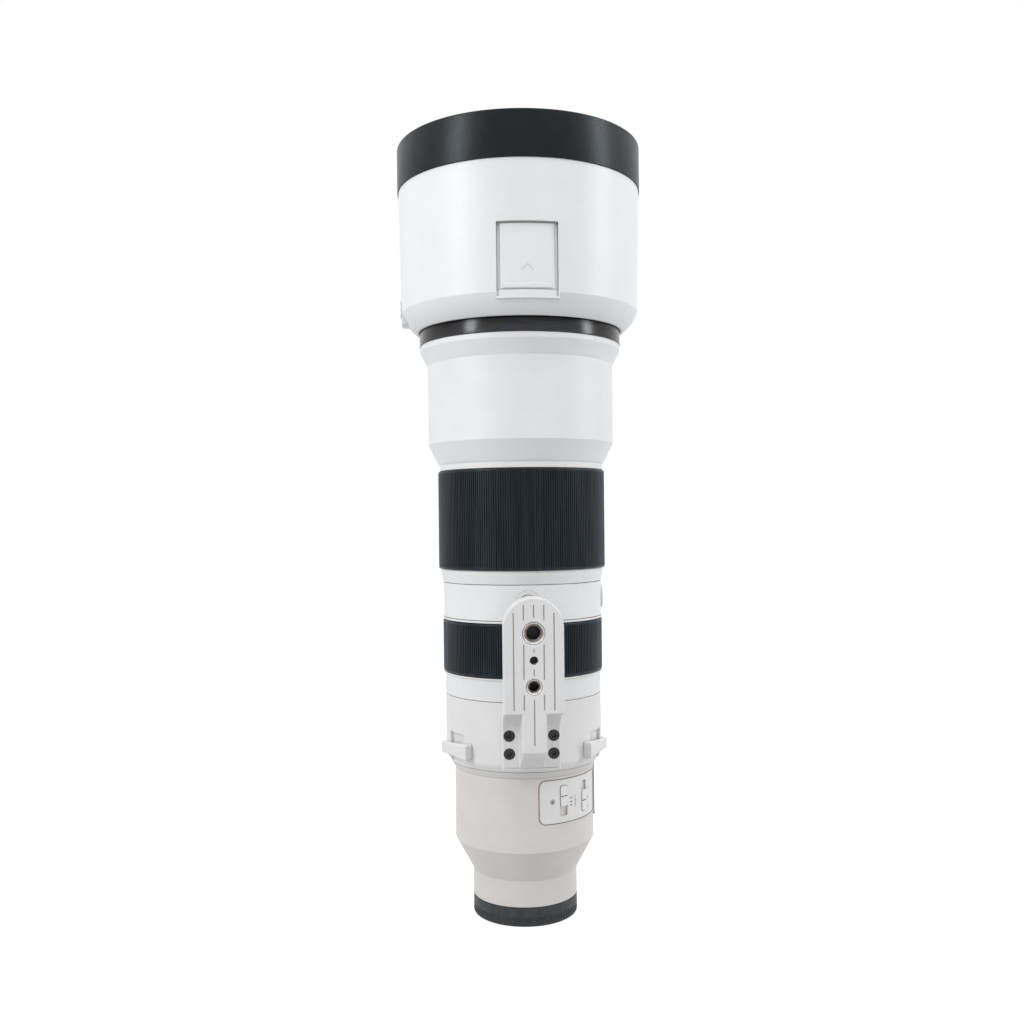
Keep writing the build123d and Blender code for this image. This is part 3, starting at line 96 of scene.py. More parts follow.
def edit(piece, kind="FACE"):
    """Open one piece in edit mode with nothing selected."""
    activate(piece)
    bpy.ops.object.mode_set(mode="EDIT")
    bpy.ops.mesh.select_mode(type=kind)
    bpy.ops.mesh.select_all(action="DESELECT")


def named(name):
    """The active object, with its name and its mesh's name set."""
    piece = bpy.context.object
    piece.name = name
    piece.data.name = name
    return piece


def pick(kind, wanted):
    """In edit mode, select the parts whose middle, in millimetres, is wanted."""
    mesh = bmesh.from_edit_mesh(bpy.context.object.data)
    parts = {"VERT": mesh.verts, "EDGE": mesh.edges, "FACE": mesh.faces}[kind]
    for part in parts:
        if kind == "VERT":
            middle = part.co
        elif kind == "EDGE":
            middle = (part.verts[0].co + part.verts[1].co) / 2
        else:
            middle = part.calc_center_median()
        if wanted(middle / MM, part):
            part.select_set(True)
    mesh.select_flush_mode()
    bmesh.update_edit_mesh(bpy.context.object.data)


def tidy(piece, angle=30):
    """Merge doubles, turn the normals out, shade smooth and apply the place."""
    edit(piece)
    bpy.ops.mesh.select_all(action="SELECT")
    bpy.ops.mesh.remove_doubles(threshold=TINY)
    bpy.ops.mesh.normals_make_consistent(inside=False)
    bpy.ops.object.mode_set(mode="OBJECT")
    bpy.ops.object.transform_apply(location=True, rotation=True, scale=True)
    bpy.ops.object.shade_smooth_by_angle(angle=math.radians(angle))
    return piece


def modify(piece, kind, **settings):
    """Add one modifier and apply it."""
    activate(piece)
    modifier = piece.modifiers.new(kind.title(), kind)
    for key, value in settings.items():
        setattr(modifier, key, value)
    bpy.ops.object.modifier_apply(modifier=modifier.name)
    return piece


def soften(piece, width, segments, angle=30):
    """Round the sharp edges of a piece."""
    return modify(
        piece, "BEVEL", width=width * MM, segments=segments,
        limit_method="ANGLE", angle_limit=math.radians(angle),
    )


def even(piece):
    """Keep large flat faces flat in the shading beside rounded edges."""
    return modify(piece, "WEIGHTED_NORMAL", keep_sharp=True, weight=80)


def wire(name, outline):
    """A closed wire of (radius, height, rounding) points in the XZ plane, left in edit mode."""
    clear()
    bpy.ops.mesh.primitive_plane_add(size=MM, location=(0, 0, 0))
    piece = named(name)
    edit(piece, "VERT")
    bpy.ops.mesh.select_all(action="SELECT")
    bpy.ops.mesh.merge(type="CENTER")
    points = [Vector((radius, 0, height)) for radius, height, _ in outline]
    bpy.ops.transform.translate(value=points[0] * MM)
    for here, there in zip(points, points[1:]):
        step = (there - here) * MM
        bpy.ops.mesh.extrude_region_move(TRANSFORM_OT_translate={"value": step})

    def pick_corners(corners):
        bpy.ops.mesh.select_all(action="DESELECT")
        pick("VERT", lambda at, _: min((at - corner).length for corner in corners) < NEAR)

    pick_corners((points[0], points[-1]))
    bpy.ops.mesh.edge_face_add()
    for size in sorted({row[2] for row in outline if row[2]}):
        pick_corners([point for point, row in zip(points, outline) if row[2] == size])
        flats = ROUND_FLATS if size < WIDE_ROUND else WIDE_ROUND_FLATS
        bpy.ops.mesh.bevel(offset=size * MM, segments=flats, affect="VERTICES")
    bpy.ops.mesh.select_all(action="SELECT")
    return piece


def spin(steps, angle):
    """In edit mode, turn what is selected about the lens's axis, clockwise seen from the front."""
    bpy.ops.mesh.spin(steps=steps, angle=angle, center=(0, 0, 0), axis=(0, 0, 1))


def turned(name, outline, steps, angle=30):
    """A piece turned on a lathe from a closed outline."""
    piece = wire(name, outline)
    spin(steps, FULL_TURN)
    return tidy(piece, angle)


def bearing_angle(bearing):
    """The angle about +Z, from +X, of a bearing counted from the foot."""
    return math.radians(bearing - 90)


def spread(piece, turn):
    """Turn a whole mesh about the lens's axis."""
    piece.data.transform(Matrix.Rotation(turn, 4, "Z"))
    return piece


def part_turned(name, outline, start, end, steps):
    """A block turned through a part of a circle, between two bearings."""
    piece = wire(name, outline)
    bpy.ops.mesh.edge_face_add()
    bpy.ops.mesh.select_all(action="SELECT")
    spin(steps, math.radians(end - start))
    tidy(piece)
    return spread(piece, bearing_angle(end))


def block(name, outline, low, high, turn=0.0):
    """A solid drawn as (sideways, height) points, between two depths along +Y, then turned."""
    piece = wire(name, outline)
    bpy.ops.mesh.edge_face_add()
    bpy.ops.transform.translate(value=(0, low * MM, 0))
    thickness = (0, (high - low) * MM, 0)
    bpy.ops.mesh.extrude_region_move(TRANSFORM_OT_translate={"value": thickness})
    tidy(piece)
    return spread(piece, math.radians(turn))


def combine(piece, cutter, operation="DIFFERENCE"):
    """Cut one solid with another, add them or keep what they share."""
    modify(piece, "BOOLEAN", operation=operation, object=cutter, solver="EXACT")
    bpy.data.objects.remove(cutter)
    edit(piece)
    bpy.ops.mesh.select_all(action="SELECT")
    bpy.ops.mesh.remove_doubles(threshold=5 * TINY)
    bpy.ops.mesh.dissolve_limited(angle_limit=math.radians(0.5))
    bpy.ops.object.mode_set(mode="OBJECT")


def ribbed(name, outline, count, steps, grooves, low, high, depth, radius, fade):
    """A turned piece with fine upright ribs: one rib is shaped, then repeated round the axis."""
    heights = (low, low + fade, high - fade, high)
    rows = [(radius, height, 0) for height in heights]
    start = next(i for i, row in enumerate(outline) if row[0] == radius and row[1] < high)
    piece = wire(name, outline[:start + 1] + rows + outline[start + 1:])
    pitch = FULL_TURN / count
    spin(steps, pitch)
    bpy.ops.mesh.select_all(action="DESELECT")
    sunk = [k * pitch / steps for k in grooves]

    def in_groove(at, _):
        bearing = math.atan2(at.y, at.x)
        upright = low + fade / 2 < at.z < high - fade / 2
        outer = abs(math.hypot(at.x, at.y) - radius) < 0.02
        gap = min(abs(abs(bearing) - angle) for angle in sunk)
        return upright and outer and gap < pitch / steps / 4

    pick("VERT", in_groove)
    shrink = (radius - depth) / radius
    bpy.ops.transform.resize(value=(shrink, shrink, 1), center_override=(0, 0, 0))
    bpy.ops.object.mode_set(mode="OBJECT")
    clear()
    bpy.ops.object.empty_add(location=(0, 0, 0), rotation=(0, 0, pitch))
    turn = bpy.context.object
    modify(
        piece, "ARRAY", count=count, use_relative_offset=False, use_object_offset=True,
        offset_object=turn, use_merge_vertices=True, use_merge_vertices_cap=True,
        merge_threshold=2 * TINY,
    )
    bpy.data.objects.remove(turn)
    return tidy(piece, 50)


def carried(name, node, width, segments, angle=30):
    """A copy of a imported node's mesh, with its doubles merged and its edges rounded."""
    activate(frame["nodes"][node])
    bpy.ops.object.duplicate()
    piece = named(name)
    piece.parent = None
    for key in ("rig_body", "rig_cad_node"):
        if key in piece:
            del piece[key]
    edit(piece)
    bpy.ops.mesh.customdata_custom_splitnormals_clear()
    bpy.ops.mesh.select_all(action="SELECT")
    bpy.ops.mesh.remove_doubles(threshold=TINY)
    bpy.ops.mesh.dissolve_limited(angle_limit=math.radians(1.0))
    bpy.ops.object.mode_set(mode="OBJECT")
    soften(piece, width, segments, angle)
    piece.data.materials.clear()
    activate(piece)
    bpy.ops.object.shade_smooth_by_angle(angle=math.radians(35))
    return even(piece)


def joined(name, pieces):
    """Several meshes as one piece."""
    clear()
    for piece in pieces:
        piece.select_set(True)
    bpy.context.view_layer.objects.active = pieces[0]
    bpy.ops.object.join()
    return named(name)


def disc(name, radius, depth, sides=SMALL_STEPS):
    """A short cylinder along Z whose top is at the origin, in millimetres."""
    clear()
    bpy.ops.mesh.primitive_cylinder_add(
        vertices=sides, radius=radius * MM, depth=depth * MM, location=(0, 0, -depth * MM / 2)
    )
    piece = named(name)
    bpy.ops.object.transform_apply(location=True, rotation=True, scale=True)
    return piece


def outward(piece, bearing, radius, height):
    """Move a piece modelled at the origin, facing +Z, to the lens's side, facing out."""
    turn = bearing_angle(bearing)
    out = Vector((math.cos(turn), math.sin(turn), 0))
    side = Vector((-math.sin(turn), math.cos(turn), 0))
    place = Matrix((
        (side.x, 0, out.x, out.x * radius * MM),
        (side.y, 0, out.y, out.y * radius * MM),
        (side.z, 1, out.z, height * MM),
        (0, 0, 0, 1),
    ))
    piece.data.transform(place)
    return piece


def lettering(name, text, size, depth):
    """Flat raised letters or figures at the origin, facing +Z, as a mesh."""
    clear()
    bpy.ops.object.text_add(location=(0, 0, 0))
    piece = bpy.context.object
    piece.data.body = text
    piece.data.size = size * MM
    piece.data.align_x = "CENTER"
    piece.data.align_y = "CENTER"
    piece.data.extrude = depth * MM
    piece.data.resolution_u = 4
    bpy.ops.object.convert(target="MESH")
    piece = named(name)
    return tidy(piece, 30)


def wrapped(piece, bearing, radius, height, lean=0.0):
    """Bend a flat mark from the origin round the lens's side, leaning out as a cone does."""
    piece.data.transform(Matrix.Rotation(math.pi / 2 + lean, 4, "X"))
    activate(piece)
    bend = piece.dimensions.x / (radius * MM)
    modify(piece, "SIMPLE_DEFORM", deform_method="BEND", deform_axis="Z", angle=bend)
    piece.data.transform(Matrix.Translation((0, -radius * MM, height * MM)))
    return spread(piece, math.radians(bearing))


def sliced(piece, width, step):
    """Cut a flat piece across at every step, so that it can bend."""
    edit(piece)
    cut = -width / 2 + step
    while cut < width / 2 - step / 2:
        bpy.ops.mesh.select_all(action="SELECT")
        bpy.ops.mesh.bisect(plane_co=(cut * MM, 0, 0), plane_no=(1, 0, 0))
        cut += step
    bpy.ops.object.mode_set(mode="OBJECT")


def bar(name, width, length, depth, rounding=0.0):
    """A flat rectangular mark at the origin, facing +Z."""
    clear()
    scale = (width * MM, length * MM, depth * MM)
    bpy.ops.mesh.primitive_cube_add(size=1, location=(0, 0, 0), scale=scale)
    piece = named(name)
    bpy.ops.object.transform_apply(location=True, rotation=True, scale=True)
    if rounding:
        soften(piece, rounding, 2)
    return tidy(piece)


# ---------------------------------------------------------------- materials


WAVE_FACTOR = 20  # the wave texture turns by 20 radians for each unit of its scale


class Look:
    """One procedural material: a shader with its texture nodes."""

    def __init__(self, name, color, rough, metal=0.0, **sockets):
        self.material = bpy.data.materials.new(name)
        self.material.use_nodes = True
        self.tree = self.material.node_tree
        self.tree.nodes.clear()
        out = self.node("ShaderNodeOutputMaterial")
        self.shader = self.node("ShaderNodeBsdfPrincipled")
        self.link(self.shader.outputs[0], out.inputs["Surface"])
        self.shader.inputs["Base Color"].default_value = (*color, 1)
        self.shader.inputs["Roughness"].default_value = rough
        self.shader.inputs["Metallic"].default_value = metal
        for key, value in sockets.items():
            self.shader.inputs[key.replace("_", " ")].default_value = value
        self.color = color
        self.place = self.node("ShaderNodeTexCoord").outputs["Object"]
        self.normal = None

    def node(self, kind, **inputs):
        made = self.tree.nodes.new(kind)
        for key, value in inputs.items():
            made.inputs[key].default_value = value
        return made

    def link(self, start, end):
        self.tree.links.new(start, end)

    def noise(self, scale, detail, stretch=(1, 1, 1)):
        mapping = self.node("ShaderNodeMapping")
        mapping.inputs["Scale"].default_value = stretch
        self.link(self.place, mapping.inputs["Vector"])
        texture = self.node("ShaderNodeTexNoise", Scale=scale, Detail=detail)
        self.link(mapping.outputs[0], texture.inputs["Vector"])
        return texture.outputs["Fac"]

    def span(self, value, low, high, start=0.3, end=0.7):
        """Stretch a value from start..end to low..high."""
        ranged = self.node("ShaderNodeMapRange")
        ranged.inputs["From Min"].default_value = start
        ranged.inputs["From Max"].default_value = end
        ranged.inputs["To Min"].default_value = low
        ranged.inputs["To Max"].default_value = high
        self.link(value, ranged.inputs["Value"])
        return ranged.outputs[0]

    def mix(self, fac, first, second):
        """Blend two colours, each a tone or an output."""
        mixed = self.node("ShaderNodeMix")
        mixed.data_type = "RGBA"
        self.link(fac, mixed.inputs["Factor"])
        for socket, value in ((mixed.inputs[6], first), (mixed.inputs[7], second)):
            if hasattr(value, "default_value"):
                self.link(value, socket)
            else:
                socket.default_value = (*value, 1)
        return mixed.outputs[2]

    def shade(self, scale, other, stretch=(1, 1, 1), start=0.35, end=0.65):
        """Vary the colour over the surface between the base and another tone."""
        fac = self.span(self.noise(scale, 4.0, stretch), 0.0, 1.0, start, end)
        self.tone(self.mix(fac, self.color, other))
        return self

    def tone(self, output):
        """Use a new colour for the shader."""
        self.latest = output
        self.link(output, self.shader.inputs["Base Color"])

    def painted_crevice_shade(self, tint, distance=0.7, start=0.45, end=0.95):
        """Darken seams, grooves and hollows towards a tint by ambient occlusion: painted shade."""
        near = self.node("ShaderNodeAmbientOcclusion", Distance=distance * MM)
        near.samples = 6
        fac = self.span(near.outputs["AO"], 1.0, 0.0, start, end)
        self.tone(self.mix(fac, self.latest, tint))
        return self

    def gloss(self, scale, low, high, stretch=(1, 1, 1)):
        """Vary the roughness."""
        rough = self.span(self.noise(scale, 3.0, stretch), low, high)
        self.link(rough, self.shader.inputs["Roughness"])
        return self

    def face(self, output):
        """Use a new normal for the shader."""
        self.normal = output
        self.link(output, self.shader.inputs["Normal"])
        return self

    def soft_edges(self, radius):
        """Shade the edges as if rounded by this radius, in millimetres."""
        edge = self.node("ShaderNodeBevel", Radius=radius * MM)
        edge.samples = 4
        return self.face(edge.outputs[0])

    def raised(self, height, strength, distance):
        """Raise the surface by a texture, in millimetres, on top of the normal so far."""
        relief = self.node("ShaderNodeBump", Strength=strength, Distance=distance * MM)
        self.link(height, relief.inputs["Height"])
        if self.normal:
            self.link(self.normal, relief.inputs["Normal"])
        return self.face(relief.outputs[0])

    def bump(self, scale, strength, distance, detail=3.0):
        """Raise a fine grain."""
        return self.raised(self.noise(scale, detail), strength, distance)

    def rings(self, pitch, strength, distance):
        """Raise fine turned rings along the axis."""
        scale = 1 / (pitch * MM) / WAVE_FACTOR
        wave = self.node("ShaderNodeTexWave", Scale=scale, Distortion=0.0)
        wave.wave_type = "BANDS"
        wave.bands_direction = "Z"
        self.link(self.place, wave.inputs["Vector"])
        return self.raised(wave.outputs["Fac"], strength, distance)


# The warm tint of the painted shade in seams and crevices
WARM_PAINTED_SHADE = (0.46, 0.42, 0.39)
looks = {}


def finish(key, name, color, rough, metal=0.0, **sockets):
    """Start a look and keep its material under a slot's name, or under a name of its own."""
    look = Look(name, color, rough, metal, **sockets)
    looks[key] = look.material
    return look


def paint(key, color, darker, rough, edge, painted_seam_shade=WARM_PAINTED_SHADE):
    """White barrel paint with a fine grain, soft edges and painted shade in its seams."""
    look = finish(key, key + "_paint", color, rough)
    look.shade(55.0, darker).painted_crevice_shade(painted_seam_shade)
    look.soft_edges(edge).bump(2600.0, 0.22, 0.05, 4.0)
    look.gloss(900.0, rough - 0.05, rough + 0.06)


# Each paint's last tone, where one is given, is the tint of its painted seam shade
paint("shell_white", (0.794, 0.804, 0.811), (0.770, 0.777, 0.782), 0.46, 0.45)
# The rear barrel's paint is greyer and warmer, and also darkened as painted shade for the weaker
# light at the lens's rear
paint("shell_grey_white", (0.69, 0.677, 0.663), (0.66, 0.645, 0.63), 0.50, 0.6)
# A darker copy of the white paint for the collar and foot: painted shade for the weaker light low
# on the lens
paint("collar_white_painted_shade", (0.745, 0.743, 0.742), (0.72, 0.717, 0.715), 0.46, 0.5, (0.50, 0.46, 0.43))
paint("hood_white", (0.80, 0.812, 0.82), (0.78, 0.79, 0.795), 0.42, 0.35, (0.42, 0.41, 0.41))
paint("panel_white", (0.765, 0.765, 0.76), (0.74, 0.74, 0.735), 0.48, 0.3, (0.40, 0.36, 0.34))
paint("switch_white", (0.80, 0.80, 0.79), (0.77, 0.77, 0.76), 0.40, 0.3, (0.45, 0.40, 0.38))

look = finish("button_grey", "button_grey_paint", (0.62, 0.62, 0.61), 0.42)
# Painted shade darkens the button's seams
look.shade(200.0, (0.58, 0.58, 0.57)).painted_crevice_shade(WARM_PAINTED_SHADE)
look.soft_edges(0.3).bump(1800.0, 0.15, 0.05)

look = finish(
    "hood_black", "hood_black_satin", (0.0040, 0.0045, 0.0050), 0.34, Specular_IOR_Level=0.24,
    Specular_Tint=(0.78, 0.90, 1.0, 1.0),
)
look.shade(60.0, (0.007, 0.0078, 0.0085)).gloss(700.0, 0.30, 0.38)
look.soft_edges(0.3).bump(2400.0, 0.2, 0.04)

look = finish("flock", "flock_black", (0.010, 0.010, 0.011), 0.95, Sheen_Weight=0.35)
look.shade(400.0, (0.016, 0.016, 0.017)).bump(3200.0, 0.8, 0.25, 5.0)

look = finish("ring_black", "ring_black_gloss", (0.056, 0.061, 0.067), 0.20, 1.0)
look.shade(80.0, (0.050, 0.048, 0.047), (1, 1, 12))
# Painted shadow: the ring darkens where the hood overhangs it and shuts out the light
look.painted_crevice_shade((0.003, 0.0025, 0.0025), 14.0, 0.76, 0.97)
look.gloss(300.0, 0.16, 0.24, (1, 1, 14)).soft_edges(0.25)

look = finish(
    "inner_black", "inner_black_anodised", (0.009, 0.009, 0.0095), 0.55, Specular_IOR_Level=0.3,
)
look.shade(90.0, (0.015, 0.015, 0.016)).gloss(500.0, 0.48, 0.62).rings(0.8, 0.5, 0.2)

look = finish(
    "cell_black", "cell_black_anodised", (0.010, 0.010, 0.011), 0.45, Specular_IOR_Level=0.3,
)
look.shade(120.0, (0.018, 0.018, 0.020)).gloss(500.0, 0.38, 0.52)
look.soft_edges(0.2).bump(1500.0, 0.12, 0.04)

look = finish(
    "grip_rubber", "grip_rubber_ribbed", (0.0040, 0.0056, 0.0075), 0.36, Specular_IOR_Level=0.28,
    Specular_Tint=(0.74, 0.88, 1.0, 1.0),
)
look.shade(420.0, (0.011, 0.0145, 0.018), (1, 1, 0.05), 0.4, 0.62)
look.gloss(260.0, 0.30, 0.46, (1, 1, 0.08)).bump(2200.0, 0.3, 0.05, 4.0)

look = finish(
    "cap_plastic", "cap_plastic_grained", (0.030, 0.032, 0.035), 0.46, Specular_IOR_Level=0.3,
)
look.shade(240.0, (0.040, 0.0425, 0.046)).gloss(800.0, 0.44, 0.58)
look.soft_edges(0.25).bump(1900.0, 0.35, 0.06, 4.0)

look = finish("bare_metal", "bare_metal_turned", (0.80, 0.77, 0.75), 0.20, 1.0)
# Painted shade darkens the hollows, such as the inside of the tripod bushes
look.shade(300.0, (0.70, 0.66, 0.64)).painted_crevice_shade((0.035, 0.022, 0.018), 5.0, 0.25, 0.85)
look.gloss(900.0, 0.14, 0.28).soft_edges(0.12)

look = finish(
    "black_screw", "black_screw_oxide", (0.008, 0.008, 0.0075), 0.34, Specular_IOR_Level=0.4,
)
look.shade(500.0, (0.016, 0.015, 0.013)).gloss(900.0, 0.26, 0.40).soft_edges(0.12)

look = finish("rail_steel", "rail_steel_ground", (0.62, 0.62, 0.63), 0.22, 1.0)
look.shade(700.0, (0.52, 0.52, 0.53), (1, 1, 0.1)).gloss(900.0, 0.16, 0.30, (1, 1, 0.1))

look = finish("cam_metal", "cam_metal_turned", (0.42, 0.42, 0.43), 0.34, 1.0)
look.shade(300.0, (0.34, 0.34, 0.35), (1, 1, 8))
look.gloss(400.0, 0.28, 0.42, (1, 1, 12)).soft_edges(0.15)

look = finish("roller_brass", "roller_brass_turned", (0.70, 0.50, 0.22), 0.26, 1.0)
look.shade(600.0, (0.60, 0.42, 0.18)).gloss(800.0, 0.2, 0.34).soft_edges(0.15)

look = finish("blade_steel", "blade_steel_blackened", (0.06, 0.06, 0.065), 0.38, 0.9)
look.shade(260.0, (0.09, 0.09, 0.095)).gloss(500.0, 0.32, 0.46)

look = finish("board_green", "board_green_mask", (0.012, 0.115, 0.045), 0.35)
look.shade(420.0, (0.02, 0.16, 0.06), (1, 1, 1), 0.48, 0.52)
look.gloss(600.0, 0.28, 0.42).bump(420.0, 0.3, 0.03)

look = finish("contact_black", "contact_black_resin", (0.016, 0.016, 0.016), 0.48)
look.shade(500.0, (0.024, 0.024, 0.024)).gloss(900.0, 0.42, 0.56)
look.soft_edges(0.2).bump(1800.0, 0.25, 0.04)

look = finish(
    "lens_glass", "lens_glass_coated", (1.0, 1.0, 1.0), 0.0, IOR=1.55, Transmission_Weight=1.0,
    Thin_Film_Thickness=320.0, Thin_Film_IOR=1.38,
)
look.shade(6.0, (0.985, 1.0, 0.99))

for key, color, lighter in (
    ("mark_grey", (0.16, 0.155, 0.15), (0.22, 0.215, 0.21)),
    ("mark_brown", (0.12, 0.075, 0.06), (0.16, 0.11, 0.09)),
    ("mark_pale", (0.56, 0.56, 0.56), (0.61, 0.61, 0.61)),
):
    finish(key, key + "_print", color, 0.55).shade(900.0, lighter).bump(2600.0, 0.1, 0.02)

# A dark brown strip drawn along the switch panels' seams: painted shade for the seams' shadow line
look = finish(
    "gasket_brown", "seam_shade_brown_strip", (0.22, 0.185, 0.165), 0.6, Specular_IOR_Level=0.25,
)
look.shade(500.0, (0.30, 0.265, 0.24)).bump(1800.0, 0.2, 0.03)

# A felt seal's grey, set to the tone of the shade line along the door window's top edge: partly the
# felt's colour, partly painted shade
look = finish("seal_grey", "seal_felt_and_painted_shade", (0.38, 0.37, 0.36), 0.9)
look.shade(900.0, (0.33, 0.32, 0.31)).bump(2600.0, 0.5, 0.08)

look = finish("screw_nickel", "panel_screw_nickel", (0.36, 0.345, 0.33), 0.34, 1.0)
# Painted shade darkens the screws' crevices
look.shade(700.0, (0.27, 0.255, 0.24)).painted_crevice_shade((0.02, 0.018, 0.016), 0.5).soft_edges(0.15)
look.gloss(900.0, 0.24, 0.38)

for node_object in frame["nodes"].values():
    for slot in node_object.material_slots:
        if slot.material.name in looks:
            slot.material = looks[slot.material.name]


def placed(piece, body, slot, *nodes, look=None):
    """Give a finished piece its look, the slot's own unless another is named, and its body, and
    hide the nodes that it stands for.
    """
    piece.data.materials.clear()
    piece.data.materials.append(looks[look or slot])
    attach(piece, body)
    if nodes:
        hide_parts(*nodes)


# ---------------------------------------------------------------- camera, light and floor

# The camera that was fitted to the ring edges in the photograph: its lens in pixels, its
# sensor in millimetres, its place in metres and its angles in radians
FOCAL_PIXELS, IMAGE_PIXELS, SENSOR = 1050.0, 1024.0, 36.0
CAMERA_AWAY, CAMERA_LEFT, CAMERA_HEIGHT, CAMERA_SHIFT = 0.632, 0.0057, 0.2227, 0.0066
CAMERA_TURN, CAMERA_ROLL = math.radians(3.4), math.radians(-0.604)

forward = Vector((math.sin(CAMERA_TURN), math.cos(CAMERA_TURN), 0))
right = Vector((math.cos(CAMERA_TURN), -math.sin(CAMERA_TURN), 0))
spot = -CAMERA_AWAY * forward - CAMERA_LEFT * right + Vector((0, 0, CAMERA_HEIGHT))
clear()
bpy.ops.object.camera_add(location=spot)
camera = bpy.context.object
camera.name = "camera"
camera.rotation_euler = (
    Matrix.Rotation(-CAMERA_TURN, 3, "Z") @ Matrix.Rotation(math.pi / 2, 3, "X")
    @ Matrix.Rotation(CAMERA_ROLL, 3, "Z")
).to_euler()
camera.data.lens = FOCAL_PIXELS / IMAGE_PIXELS * SENSOR
camera.data.sensor_width = SENSOR
camera.data.shift_y = CAMERA_SHIFT
camera.data.clip_start = 0.01
bpy.context.scene.camera = camera
bpy.context.scene.view_settings.view_transform = "Standard"


def lamp(name, place, aim, width, height, power):
    """A soft rectangular lamp that points at a spot on the lens."""
    clear()
    bpy.ops.object.light_add(type="AREA", location=place)
    light = bpy.context.object
    light.name = name
    light.data.shape = "RECTANGLE"
    light.data.size = width
    light.data.size_y = height
    light.data.energy = power
    light.rotation_euler = (Vector(aim) - Vector(place)).to_track_quat("-Z", "Y").to_euler()


FRONT_RING = (0, 0, 0.34)
lamp("left_softbox", (-0.86, -0.53, 0.72), FRONT_RING, 0.22, 0.75, 5.2)
lamp("right_softbox", (0.98, -0.25, 0.72), FRONT_RING, 0.22, 0.75, 4.5)
lamp("top_softbox", (0, -0.25, 1.5), (0, 0, 0.2), 1.0, 0.8, 6.0)

AIR_COLOR, AIR_STRENGTH = (0.98, 0.99, 1.0, 1), 0.66
FLOOR_COLOR, FLOOR_GLOW = (0.52, 0.52, 0.52, 1), 0.72


def emptied(owner):
    """The nodes and links of a material or world, with nothing in them."""
    owner.use_nodes = True
    owner.node_tree.nodes.clear()
    return owner.node_tree.nodes, owner.node_tree.links


def ray_mask(nodes, links, *kinds):
    """An output that is 1 for rays of these kinds and 0 for all others."""
    path = nodes.new("ShaderNodeLightPath")
    mask = path.outputs[kinds[0]]
    for kind in kinds[1:]:
        either = nodes.new("ShaderNodeMath")
        either.operation = "MAXIMUM"
        links.new(mask, either.inputs[0])
        links.new(path.outputs[kind], either.inputs[1])
        mask = either.outputs[0]
    return mask


# The world lights the lens evenly, and is white to the camera, through glass and in reflections
world = bpy.data.worlds.new("studio")
bpy.context.scene.world = world
nodes, links = emptied(world)
out = nodes.new("ShaderNodeOutputWorld")
plain = nodes.new("ShaderNodeBackground")
plain.inputs["Color"].default_value = AIR_COLOR
plain.inputs["Strength"].default_value = AIR_STRENGTH
white = nodes.new("ShaderNodeBackground")
white.inputs["Color"].default_value = (1, 1, 1, 1)
direct = ray_mask(nodes, links, "Is Camera Ray", "Is Transmission Ray", "Is Glossy Ray")
blend = nodes.new("ShaderNodeMixShader")
links.new(direct, blend.inputs[0])
links.new(plain.outputs[0], blend.inputs[1])
links.new(white.outputs[0], blend.inputs[2])
links.new(blend.outputs[0], out.inputs["Surface"])

# The floor glows for the camera and for reflections, so that it is as white as the world
clear()
bpy.ops.mesh.primitive_plane_add(size=6.0, location=(0, 0, Z_CAP * MM))
floor = named("floor")
bpy.ops.object.transform_apply(location=True, rotation=True, scale=True)
floor_look = bpy.data.materials.new("floor_white")
nodes, links = emptied(floor_look)
out = nodes.new("ShaderNodeOutputMaterial")
matt = nodes.new("ShaderNodeBsdfDiffuse")
matt.inputs["Color"].default_value = FLOOR_COLOR
glow = nodes.new("ShaderNodeEmission")
strength = nodes.new("ShaderNodeMath")
strength.operation = "MULTIPLY"
strength.inputs[1].default_value = FLOOR_GLOW
links.new(ray_mask(nodes, links, "Is Camera Ray", "Is Glossy Ray"), strength.inputs[0])
links.new(strength.outputs[0], glow.inputs["Strength"])
total = nodes.new("ShaderNodeAddShader")
links.new(matt.outputs[0], total.inputs[0])
links.new(glow.outputs[0], total.inputs[1])
links.new(total.outputs[0], out.inputs["Surface"])
floor.data.materials.append(floor_look)


# ---------------------------------------------------------------- hood

# The flock on the door's back: radius, heights, half angle in degrees and thickness
DOOR_BORE, Z_DOOR, Z_DOOR_TOP, DOOR_HALF, FLOCK = 68.17, 346.3, 381.4, 12.2, 0.14
# The flock over the pads that carry the door's pocket and the lock button
PAD_R, Z_PAD, Z_PAD_TOP = 61.0, 341.6, 346.5

placed(turned("hood_rim_band", [
    (RIM_BORE, Z_RIM, 0.2), (RIM_R, Z_RIM, 0.2), (RIM_R, Z_TOP, 0.8), (RIM_BORE, Z_TOP, 0.8),
], FINE_STEPS), "hood", "hood_black", "hood_rim")

placed(carried("hood_door_plate", "hood_door", 0.22, 3), "hood_door", "hood_white", "hood_door")
placed(part_turned("hood_door_lining", [
    (DOOR_BORE - FLOCK, Z_DOOR, 0), (DOOR_BORE, Z_DOOR, 0),
    (DOOR_BORE, Z_DOOR_TOP, 0), (DOOR_BORE - FLOCK, Z_DOOR_TOP, 0),
], -DOOR_HALF, DOOR_HALF, 40), "hood_door", "flock")
# A cone of flock over the white step that leads down to the front ring
placed(turned("hood_throat_lining", [
    (60.33, 341.29, 0), (68.58, 346.46, 0), (68.42, 346.72, 0.05), (60.17, 341.54, 0.05),
], FINE_STEPS), "hood", "flock")
pad_covers = []
for bearing, half, reach, z_reach, steps in (
    (0.0, 14.8, 67.85, 345.95, 40), (270.0, 7.3, 68.65, 346.4, 20),
):
    pad_covers.append(part_turned("pad_cover", [
        (PAD_R, Z_PAD, 0), (reach, z_reach, 0), (reach, Z_PAD_TOP, 0.05), (PAD_R, Z_PAD_TOP, 0.3),
    ], bearing - half, bearing + half, steps))
placed(joined("hood_pad_covers", pad_covers), "hood", "flock")
placed(carried("hood_lock_pad", "hood_lock_button", 0.15, 2),
       "hood_lock", "hood_white", "hood_lock_button")

